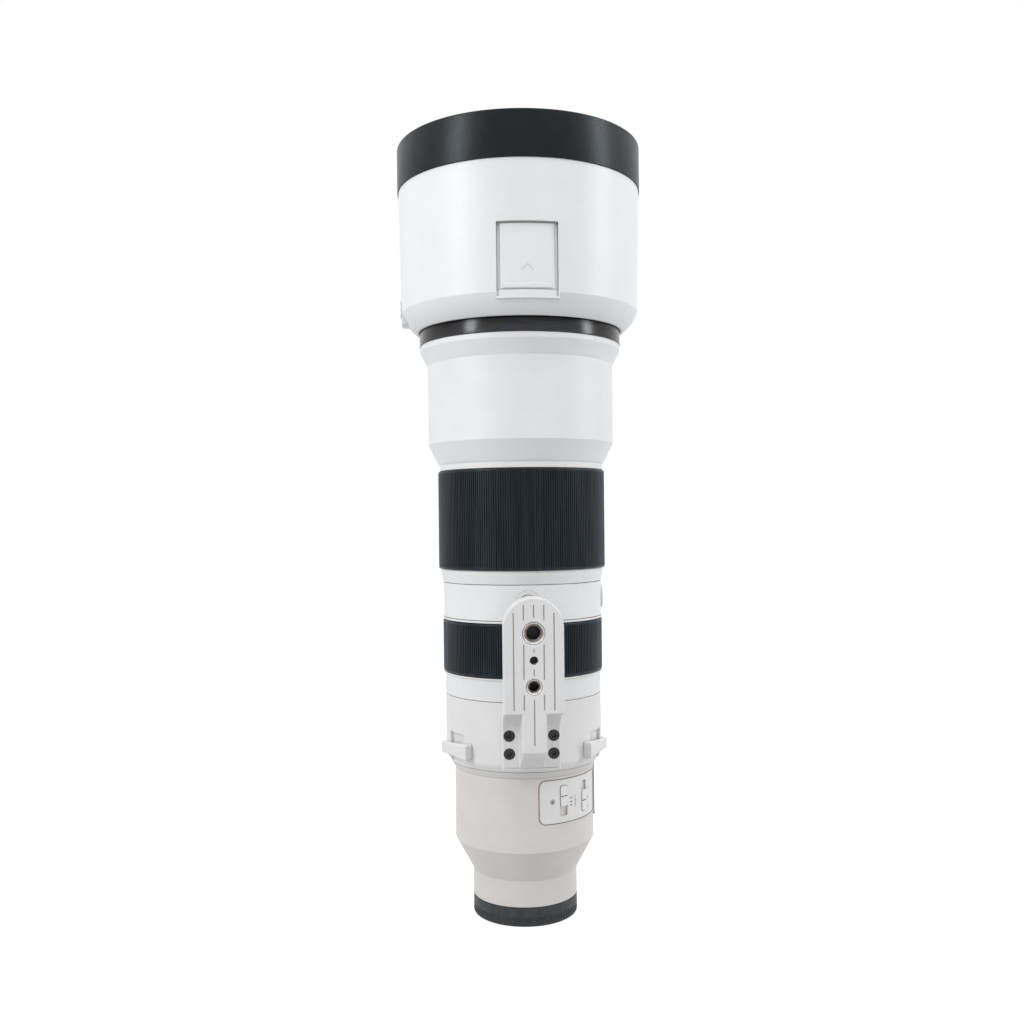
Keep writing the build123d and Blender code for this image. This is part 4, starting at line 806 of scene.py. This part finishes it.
# ---------------------------------------------------------------- front ring with its thread

FILTER_PITCH, FILTER_DEPTH = 1.0, 0.45
Z_THREAD_END, Z_FIRST_RIDGE, Z_LAST_RIDGE = Z_FACE - 7.5, Z_FACE - 7.2, Z_FACE - 1.0
Z_GROOVE, Z_RING_LUG, Z_RING_LUG_TOP = Z_RING + 11.0, Z_RING + 15.0, Z_RING + 18.0
RING_LUG_HALF, CAP_LUG_HALF = 30, 25
BAYONET_BEARINGS = (60.0, 180.0, 300.0)

thread_rows = []
height = Z_FIRST_RIDGE
while height < Z_LAST_RIDGE:
    thread_rows.append((THREAD_R + FILTER_DEPTH, height + FILTER_PITCH / 2, 0))
    thread_rows.append((THREAD_R, height + FILTER_PITCH, 0))
    height += FILTER_PITCH
ring_outline = [
    (FRONT_BORE, Z_RING, 0), (RING_R, Z_RING, 0.25), (RING_R, Z_GROOVE, 0.25),
    (GROOVE_R, Z_GROOVE, 0), (GROOVE_R, Z_FACE, 0.6), (THREAD_R + 0.5, Z_FACE, 0.2),
] + thread_rows[::-1] + [(THREAD_R, Z_THREAD_END, 0), (FRONT_BORE, Z_THREAD_END, 0)]
ring_parts = [turned("front_ring_black", ring_outline, FINE_STEPS)]
for bearing in BAYONET_BEARINGS:
    ring_parts.append(part_turned("ring_lug", [
        (GROOVE_R - 0.1, Z_RING_LUG, 0), (RING_R, Z_RING_LUG, 0.15),
        (RING_R, Z_RING_LUG_TOP, 0.15), (GROOVE_R - 0.1, Z_RING_LUG_TOP, 0),
    ], bearing - RING_LUG_HALF, bearing + RING_LUG_HALF, 40))
placed(joined("front_ring_black", ring_parts), "barrel", "ring_black", "front_ring")

# ---------------------------------------------------------------- rubber grips

# Each rib's flats, those of them that are sunk, how deep, and its ends
RIB_STEPS, RIB_GROOVES, RIB_DEPTH, RIB_FADE, RIB_MARGIN = 8, (0, 1, 7, 8), 0.5, 0.8, 1.2
for name, node, body, core, radius, low, high, count in (
    ("zoom_grip_ribs", "zoom_grip", "zoom", ZOOM_CORE, ZOOM_R, Z_GRIP, Z_GRIP_TOP, 222),
    ("focus_grip_ribs", "focus_grip", "focus", FOCUS_CORE, FOCUS_R, Z_FOCUS, Z_FOCUS_TOP, 212),
):
    outline = [(core, low, 0), (radius, low, 0.75), (radius, high, 0.75), (core, high, 0)]
    grip = ribbed(name, outline, count, RIB_STEPS, RIB_GROOVES, low + RIB_MARGIN,
                  high - RIB_MARGIN, RIB_DEPTH, radius, RIB_FADE)
    placed(grip, body, "grip_rubber", node)

# ---------------------------------------------------------------- middle: bezels, buttons

placed(carried("hold_bezel_rings", "hold_bezels", 0.25, 3), "barrel", "panel_white", "hold_bezels")
for side in ("foot", "side", "top"):
    node = "hold_button_" + side
    placed(carried(node + "_pad", node, 0.35, 4), "hold_" + side, "button_grey", node)

# ---------------------------------------------------------------- foot

FOOT_SEAT, PLATE_BACK, SCREW_FLOOR = 50.0, 72.0, 62.0
FOOT_HALF, TONGUE_HALF = 15.9, 6.5
Z_FOOT, Z_TONGUE, Z_SCREW, Z_STEM, Z_FRONT_END = 85.6, 100.0, 104.8, 113.7, 181.5
SCREW_PITCH, SCREW_SIDE, SCREW_HEAD = 9.8, 12.1, 3.15
Z_BUSH, Z_SMALL_BUSH, Z_PIN = 162.7, 134.6, 148.5
BUSH_R, SMALL_BUSH_R, BUSH_DEPTH = 5.7, 4.0, 10.0
PIN_R, PIN_DEPTH, PIN_FLARE, BUSH_FLARE = 2.25, 6.0, 0.15, 0.7
GROOVE_HALF, GROOVE_DEPTH, RECESS_DEPTH = 0.3, 0.5, 2.6
THREAD_SHARE = 0.55  # a thread's depth over its pitch
PAST = 4.0  # how far a cutter runs past what it cuts
SIDE_TO_FOOT = -90.0
# The end of the pockets beside the tongue, from the foot's face down to the screws
POCKET_CURVE = (
    (FOOT_FACE + PAST, 120.9), (80.5, 119.7), (75.0, 118.2), (70.5, 116.1), (66.6, 113.6),
    (63.6, 110.8), (SCREW_FLOOR, 107.6),
)

foot = block("foot_body", [
    (FOOT_SEAT, Z_FOOT, 0), (SCREW_FLOOR, Z_FOOT, 0), (SCREW_FLOOR, Z_FOOT + 1.6, 0),
    (FOOT_FACE, Z_TONGUE, 0), (FOOT_FACE, Z_FRONT_END, 0), (PLATE_BACK, Z_FRONT_END, 0),
    (PLATE_BACK, Z_STEM, 16.0), (FOOT_SEAT, Z_STEM, 0),
], -FOOT_HALF, FOOT_HALF, SIDE_TO_FOOT)
combine(foot, block("foot_outline", [
    (-FOOT_HALF, Z_FOOT - PAST, 0), (FOOT_HALF, Z_FOOT - PAST, 0),
    (FOOT_HALF, Z_FRONT_END, FOOT_HALF - 0.02), (-FOOT_HALF, Z_FRONT_END, FOOT_HALF - 0.02),
], -FOOT_FACE - PAST, -FOOT_SEAT + PAST), "INTERSECT")
for low, high in ((-FOOT_HALF - PAST, -TONGUE_HALF), (TONGUE_HALF, FOOT_HALF + PAST)):
    combine(foot, block("foot_pocket", [
        (SCREW_FLOOR, Z_FOOT - PAST, 0), (FOOT_FACE + PAST, Z_FOOT - PAST, 0),
        *((depth, height, 0) for depth, height in POCKET_CURVE),
    ], low, high, SIDE_TO_FOOT))
soften(foot, 1.5, 5, 32)

for height, radius, depth, flare in (
    (Z_BUSH, BUSH_R, BUSH_DEPTH, BUSH_FLARE), (Z_SMALL_BUSH, SMALL_BUSH_R, BUSH_DEPTH, BUSH_FLARE),
    (Z_PIN, PIN_R, PIN_DEPTH, PIN_FLARE),
):
    cutter = turned("foot_bore", [
        (0, -depth, 0), (radius, -depth, 0), (radius, -flare, 0), (radius + flare, 0.05, 0),
        (radius + flare, 2, 0), (0, 2, 0),
    ], SMALL_STEPS)
    combine(foot, outward(cutter, 0, FOOT_FACE, height))
# A groove's place as a share of the half width, then its two ends, above the foot's rear end
grooves = []
for share, low, high in (
    (0.67, 37.0, 87.8), (0.335, 37.0, 45.0), (0.335, 53.0, 71.2), (0.335, 84.0, 92.0),
    (0.0, 18.4, 42.4), (0.0, 55.0, 58.4), (0.0, 67.4, 69.0), (0.0, 85.4, 92.0),
):
    for side in (-1, 1) if share else (1,):
        groove = block("foot_groove", [
            (-GROOVE_HALF, low, 0.25), (GROOVE_HALF, low, 0.25),
            (GROOVE_HALF, high, 0.25), (-GROOVE_HALF, high, 0.25),
        ], -FOOT_FACE - 1.0, -FOOT_FACE + GROOVE_DEPTH)
        groove.data.transform(Matrix.Translation((side * share * FOOT_HALF * MM, 0, Z_FOOT * MM)))
        grooves.append(groove)
combine(foot, joined("foot_grooves", grooves))
for side in (-1, 1):
    for level in (0, 1):
        cutter = disc("foot_recess", SCREW_HEAD, 6.0)
        cutter.data.transform(Matrix.Translation((side * SCREW_SIDE * MM, 0, RECESS_DEPTH * MM)))
        combine(foot, outward(cutter, 0, SCREW_FLOOR, Z_SCREW - level * SCREW_PITCH))
soften(foot, 0.16, 2, 40)
even(tidy(foot, 40))
placed(foot, "collar", "shell_white", "foot", look="collar_white_painted_shade")


def bush(name, bush_radius, thread_radius, pitch, mouth, height):
    """A steel bush with a bright conical mouth and the ridges of its thread."""
    rows = []
    at = -mouth
    while at > -BUSH_DEPTH + pitch:
        rows.append((thread_radius, at, 0))
        rows.append((thread_radius + THREAD_SHARE * pitch, at - pitch / 2, 0))
        at -= pitch
    piece = turned(name, [
        (bush_radius - 0.04, -BUSH_DEPTH + 0.1, 0), (bush_radius - 0.04, -0.2, 0.15),
        (bush_radius - 0.3, -0.2, 0.1),
    ] + rows + [(thread_radius, -BUSH_DEPTH + 0.1, 0)], 96, 24)
    return outward(piece, 0, FOOT_FACE, height)


# Bushes for a 3/8-16 and a 1/4-20 thread
bushes = [
    bush("bush_large", BUSH_R, 3.75, 1.59, 2.6, Z_BUSH),
    bush("bush_small", SMALL_BUSH_R, 2.5, 1.27, 1.9, Z_SMALL_BUSH),
]
placed(joined("tripod_bushes", bushes), "collar", "bare_metal", "thread_bushes")
# Black discs at the far ends of the bores and the pin hole: painted shade at the bottom of the
# holes
for name, radius, height, depth in (
    ("bush_end_large", 5.0, Z_BUSH, BUSH_DEPTH - 0.6),
    ("bush_end_small", 3.5, Z_SMALL_BUSH, BUSH_DEPTH - 0.6),
    ("pin_hole_end", 2.2, Z_PIN, PIN_DEPTH - 0.8),
):
    painted_shade_disc = soften(disc(name, radius, 0.3), 0.08, 2)
    placed(outward(painted_shade_disc, 0, FOOT_FACE - depth, height), "collar", "cell_black")

placed(carried("foot_socket_screws", "foot_screws", 0.25, 3, 40),
       "collar", "black_screw", "foot_screws")
placed(carried("collar_lock_knob", "collar_knob", 0.2, 2, 40),
       "collar_lock", "cap_plastic", "collar_knob")

# ---------------------------------------------------------------- tripod collar

COLLAR_BORE, CONE_R, SEAM_R = 39.66, 41.4, 43.85
Z_REAR_TOP, Z_SEAM, Z_COLLAR_BODY = 76.25, 80.2, 84.0
SLEEVE_BORE, Z_JOURNAL_TOP, Z_COLLAR_TOP, Z_LIP = 43.2, 113.7, 119.7, 131.9
LOWER_GAP, UPPER_GAP = 0.15, 0.25
BOSS_HALF, KNOB_BOSS_R, KNOB_BOSS_FACE, BOSS_SUNK, KNOB_BOSS_SUNK = 15.8, 9.0, 49.6, 6.0, 4.0
# A strap lug: depths, heights, the bearing of its middle and its reach to each side of it.
# The end near the foot slants inwards, and the far end falls and is rounded outside.
LUG_FACE, LUG_BACK, LUG_LOW, LUG_HIGH, LUG_BEARING = 47.9, 41.5, 86.0, 95.0, 66.5
LUG_TO_FOOT, LUG_TO_BACK, LUG_SLANT, LUG_FALL, LUG_ROUND = 20.8, 16.2, 3.2, 3.6, 3.0
STRAP_FLOOR, STRAP_CEILING, STRAP_TOP, STRAP_START, STRAP_END = 44.7, 46.8, 99.2, 52.0, 71.0

collar = turned("collar_body", [
    (COLLAR_BORE, Z_SEAM + LOWER_GAP, 0), (SEAM_R + 0.1, Z_SEAM + LOWER_GAP, 0.2),
    (COLLAR_R, Z_COLLAR_BODY, 1.5), (COLLAR_R, Z_COLLAR_TOP, 0.3), (SLEEVE_BORE, Z_COLLAR_TOP, 0),
    (SLEEVE_BORE, Z_JOURNAL_TOP, 0), (COLLAR_BORE, Z_JOURNAL_TOP, 0),
], FINE_STEPS)
boss = block("foot_boss", [
    (-BOSS_HALF, Z_FOOT - 0.6, 0), (BOSS_HALF, Z_FOOT - 0.6, 0),
    (BOSS_HALF, Z_STEM, 0), (-BOSS_HALF, Z_STEM, 0),
], -FOOT_SEAT, -COLLAR_R + BOSS_SUNK)
combine(collar, soften(boss, 1.6, 5), "UNION")
knob_boss = disc("knob_boss", KNOB_BOSS_R, KNOB_BOSS_FACE - COLLAR_R + KNOB_BOSS_SUNK, 96)
soften(knob_boss, 0.6, 3)
combine(collar, outward(knob_boss, 180, KNOB_BOSS_FACE, (Z_COLLAR_BODY + Z_STEM) / 2), "UNION")


def strap_lug(side):
    """The lug on one side of the foot: 1 towards the switch panels, -1 away from them."""
    low, high = sorted((-side * LUG_TO_FOOT, side * LUG_TO_BACK))
    lug = block("strap_lug", [
        (low, LUG_LOW, 0), (high, LUG_LOW, 0), (high, LUG_HIGH, 0), (low, LUG_HIGH, 0),
    ], -LUG_FACE, -LUG_BACK)

    def at_far_end(at):
        return at.x * side > LUG_TO_BACK - 0.1

    edit(lug, "VERT")
    for offset, wanted in (
        ((side * LUG_SLANT, 0, 0), lambda at, _: at.y > -LUG_BACK - 0.1 and at.x * side < 0),
        ((0, 0, -LUG_FALL), lambda at, _: at_far_end(at) and at.z > LUG_HIGH - 0.1),
        ((0, 0, -LUG_FALL / 3), lambda at, _: at_far_end(at) and at.z < LUG_LOW + 0.1),
    ):
        bpy.ops.mesh.select_all(action="DESELECT")
        pick("VERT", wanted)
        bpy.ops.transform.translate(value=Vector(offset) * MM)
    bpy.ops.mesh.select_mode(type="EDGE")
    bpy.ops.mesh.select_all(action="DESELECT")
    pick("EDGE", lambda at, _: at.y < -LUG_FACE + 0.1 and at_far_end(at))
    bpy.ops.mesh.bevel(offset=LUG_ROUND * MM, segments=6, affect="EDGES")
    bpy.ops.object.mode_set(mode="OBJECT")
    return spread(soften(lug, 1.0, 4, 40), math.radians(side * LUG_BEARING))


for side in (-1, 1):
    combine(collar, strap_lug(side), "UNION")
for start, end in ((STRAP_START, STRAP_END), (-STRAP_END, -STRAP_START)):
    combine(collar, part_turned("strap_slot", [
        (STRAP_FLOOR, Z_SEAM - 2, 0), (STRAP_CEILING, Z_SEAM - 2, 0), (STRAP_CEILING, STRAP_TOP, 0),
        (STRAP_FLOOR, STRAP_TOP, 0),
    ], start, end, 24))
placed(even(tidy(collar, 35)), "collar", "shell_white", "collar_ring", look="collar_white_painted_shade")
placed(turned("fixed_band_sleeve", [
    (SLEEVE_BORE, Z_COLLAR_TOP + UPPER_GAP, 0), (COLLAR_R, Z_COLLAR_TOP + UPPER_GAP, 0.25),
    (COLLAR_R, Z_LIP, 0.3), (LIP_R, Z_LIP + 0.35, 0.3), (LIP_R, Z_BAND_TOP, 0.25),
    (SLEEVE_BORE, Z_BAND_TOP, 0),
], FINE_STEPS), "barrel", "shell_white", "fixed_band")
placed(turned("rear_cone_ring", [
    (COLLAR_BORE, Z_REAR_TOP, 0), (CONE_R, Z_REAR_TOP, 0),
    (SEAM_R, Z_SEAM, 0.25), (COLLAR_BORE, Z_SEAM, 0),
], FINE_STEPS), "barrel", "shell_grey_white")

# ---------------------------------------------------------------- switch panels

PANEL_A_R, PANEL_B_R = REAR_R, 42.1
KNOB_PROUD, SKIRT_SUNK = 0.45, 0.85
SEAM_SHADE_WIDTH, SEAM_SHADE_DEPTH, SEAM_SHADE_STEP, TICK_WIDTH = 0.42, 0.24, 2.0, 0.52
for panel in ("switch_panel_a", "switch_panel_b"):
    placed(carried(panel + "_plate", panel, 0.15, 2), "barrel", "panel_white", panel)

for switch, bearing, height, face in (
    ("focus_mode", 29.0, 64.8, PANEL_A_R), ("focus_limit", 52.5, 59.4, PANEL_A_R),
    ("stabiliser", 99.0, 62.9, PANEL_B_R), ("stabiliser_mode", 124.0, 62.9, PANEL_B_R),
):
    node, body = switch + "_switch", "switch_" + switch
    placed(carried(node + "_knob", node, 0.3, 3), body, "switch_white", node)
    skirt = bar(node + "_skirt", 5.1, 11.9, 0.8, 0.05)
    placed(outward(skirt, bearing, face - SKIRT_SUNK, height), body, "switch_white")
    line = bar(node + "_line", 3.9, 0.5, 0.10, 0.04)
    placed(outward(line, bearing, face + KNOB_PROUD + 0.01, height), body, "switch_white",
           look="mark_brown")


def seam_shade_strip(name, start, end, low, high, radius, corner):
    """A dark strip of painted shade along a switch panel's seam, between two bearings and two
    heights.
    """
    arc = math.radians(end - start) * radius
    clear()
    bpy.ops.mesh.primitive_plane_add(size=MM, location=(0, 0, 0))
    piece = named(name)
    edit(piece, "VERT")
    bpy.ops.mesh.select_all(action="SELECT")
    bpy.ops.transform.resize(value=(arc, high - low, 1))
    bpy.ops.mesh.bevel(offset=corner * MM, segments=8, affect="VERTICES")
    bpy.ops.mesh.select_mode(type="FACE")
    bpy.ops.mesh.select_all(action="SELECT")
    bpy.ops.mesh.inset(thickness=SEAM_SHADE_WIDTH * MM)
    bpy.ops.mesh.delete(type="FACE")
    bpy.ops.object.mode_set(mode="OBJECT")
    sliced(piece, arc, SEAM_SHADE_STEP)
    modify(piece, "SOLIDIFY", thickness=SEAM_SHADE_DEPTH * MM, offset=0.0)
    return wrapped(piece, (start + end) / 2, radius, (low + high) / 2)


for name, start, end, low, high, radius, corner in (
    ("switch_panel_a_seam_shade", 7.3, 74.8, 49.5, 74.7, PANEL_A_R, 4.2),
    ("switch_panel_b_seam_shade", 75.2, 150.0, 45.7, 74.7, PANEL_B_R, 5.0),
):
    placed(seam_shade_strip(name, start, end, low, high, radius, corner), "barrel", "panel_white",
           look="gasket_brown")

ticks = []
for bearing, heights, length, radius in (
    (36.4, (62.9, 60.8, 58.8), 1.5, PANEL_A_R), (59.6, (65.6, 60.1, 54.6), 1.1, PANEL_A_R),
    (106.2, (64.4, 59.0), 1.2, PANEL_B_R), (131.2, (64.4, 61.7, 59.0), 1.2, PANEL_B_R),
):
    for height in heights:
        tick = bar("tick", length, TICK_WIDTH, 0.08)
        ticks.append(wrapped(tick, bearing, radius, height))
placed(joined("panel_ticks", ticks), "barrel", "panel_white", look="mark_brown")

figures = []
for size, radius, rows in (
    (2.7, PANEL_A_R, (("1", 40.9, 63.1), ("2", 40.9, 60.7), ("3", 40.9, 58.3))),
    (2.0, PANEL_B_R, (("ON", 110.6, 64.4), ("OFF", 111.2, 59.0))),
    (2.0, PANEL_B_R, (("1", 134.4, 64.4), ("2", 134.4, 61.7), ("3", 134.4, 59.0))),
):
    for text, bearing, height in rows:
        figures.append(wrapped(lettering("figure", text, size, 0.04), bearing, radius, height))
placed(joined("panel_figures", figures), "barrel", "panel_white", look="mark_grey")
placed(carried("panel_screw_heads", "panel_screws", 0.12, 2, 40),
       "barrel", "black_screw", "panel_screws", look="screw_nickel")

# ---------------------------------------------------------------- focal length scale, on top

# The figures lie on the zoom ring's conical skirt, evenly over its turn of 75 degrees
SKIRT_CONE, SCALE_R, Z_SCALE, SCALE_SIZE = 5.2, 47.62, 188.3, 3.4
SCALE_START, SCALE_STEP, Z_INDEX = 180.0, 18.75, 184.1

SKIRT_LEAN = math.atan2(SKIRT_R - MID_R, SKIRT_CONE)
scale_figures = []
for step, text in enumerate(("400", "500", "600", "700", "800")):
    figure = lettering("figure", text, SCALE_SIZE, 0.05)
    bearing = SCALE_START - step * SCALE_STEP
    scale_figures.append(wrapped(figure, bearing, SCALE_R, Z_SCALE, SKIRT_LEAN))
scale_figures = joined("zoom_scale_figures", scale_figures)
placed(scale_figures, "zoom", "shell_white", look="mark_grey")
placed(wrapped(bar("zoom_index", 0.6, 1.9, 0.12, 0.05), SCALE_START, MID_R, Z_INDEX),
       "barrel", "shell_white", look="mark_grey")

# ---------------------------------------------------------------- rear cap

CAP_BORE, CAP_SEAT, CAP_GROOVE_R, CAP_LUG_R = 28.5, 28.8, NECK_R - 0.35, 23.3
Z_CAP_TOP, Z_CAP_RIBS, Z_CAP_FLOOR, Z_CAP_LUG, Z_CAP_LUG_TOP = -0.3, -6.75, Z_CAP + 2.2, -2.7, -1.3

cap_wall = [
    (CAP_BORE, Z_CAP, 0), (NECK_R, Z_CAP, 1.2), (NECK_R, -6.7, 0), (CAP_GROOVE_R, -6.5, 0),
    (CAP_GROOVE_R, -6.1, 0), (NECK_R, -5.9, 0),
    (NECK_R, Z_CAP_TOP, 0.3), (CAP_BORE, Z_CAP_TOP, 0.2),
]
cap_parts = [
    ribbed("rear_cap_wall", cap_wall, 132, 6, (0, 1, 5, 6), Z_CAP + RIB_MARGIN, Z_CAP_RIBS,
           0.45, NECK_R, 0.35),
    turned("rear_cap_floor", [
        (0.0, Z_CAP + 0.02, 0), (CAP_SEAT, Z_CAP + 0.02, 0),
        (CAP_SEAT, Z_CAP_FLOOR, 0.1), (0.0, Z_CAP_FLOOR, 0),
    ], 128),
]
for bearing in BAYONET_BEARINGS:
    cap_parts.append(part_turned("rear_cap_lug", [
        (CAP_LUG_R, Z_CAP_LUG, 0.1), (CAP_SEAT, Z_CAP_LUG, 0),
        (CAP_SEAT, Z_CAP_LUG_TOP, 0), (CAP_LUG_R, Z_CAP_LUG_TOP, 0.1),
    ], bearing - CAP_LUG_HALF, bearing + CAP_LUG_HALF, 30))
placed(joined("rear_cap_cup", cap_parts), "cap", "cap_plastic", "rear_cap")

# ---------------------------------------------------------------- marks on the hood's door

# Radii, heights and half angles in degrees
SEAL_BACK, SEAL_FACE, Z_SEAL, Z_SEAL_TOP, SEAL_HALF = 69.85, 70.35, 381.5, 382.3, 13.4
DOOR_R, Z_LEDGE, Z_LEDGE_TOP, LEDGE_HALF, Z_CHEVRON = 69.75, 346.6, 349.6, 10.8, 357.7
# A leg of the chevron: its middle's distance from the centre line, and its turn in radians
LEG_ASIDE, LEG_TURN = 1.60, 0.80

chevron = []
for side in (-1, 1):
    leg = bar("chevron_leg", 4.6, 0.32, 0.10)
    turn = Matrix.Rotation(-side * LEG_TURN, 4, "Z")
    leg.data.transform(Matrix.Translation((side * LEG_ASIDE * MM, 0, 0)) @ turn)
    chevron.append(leg)
placed(wrapped(joined("hood_door_chevron", chevron), 0.0, DOOR_R + 0.01, Z_CHEVRON),
       "hood_door", "hood_white", look="mark_pale")
# A grey seal over the gap at the top of the door's window: partly felt, partly painted shade of
# that gap
seal = part_turned("hood_door_seal", [
    (SEAL_BACK, Z_SEAL, 0.1), (SEAL_FACE, Z_SEAL, 0.15),
    (SEAL_FACE, Z_SEAL_TOP, 0), (SEAL_BACK, Z_SEAL_TOP, 0),
], -SEAL_HALF, SEAL_HALF, 40)
placed(seal, "hood", "hood_white", look="seal_grey")
ledge = part_turned("hood_door_ledge", [
    (DOOR_R - 0.3, Z_LEDGE, 0.1), (DOOR_R + 0.28, Z_LEDGE, 0.2),
    (DOOR_R + 0.22, Z_LEDGE_TOP, 0.3), (DOOR_R - 0.3, Z_LEDGE_TOP, 0.1),
], -LEDGE_HALF, LEDGE_HALF, 40)
placed(soften(ledge, 0.15, 2, 40), "hood_door", "hood_white")
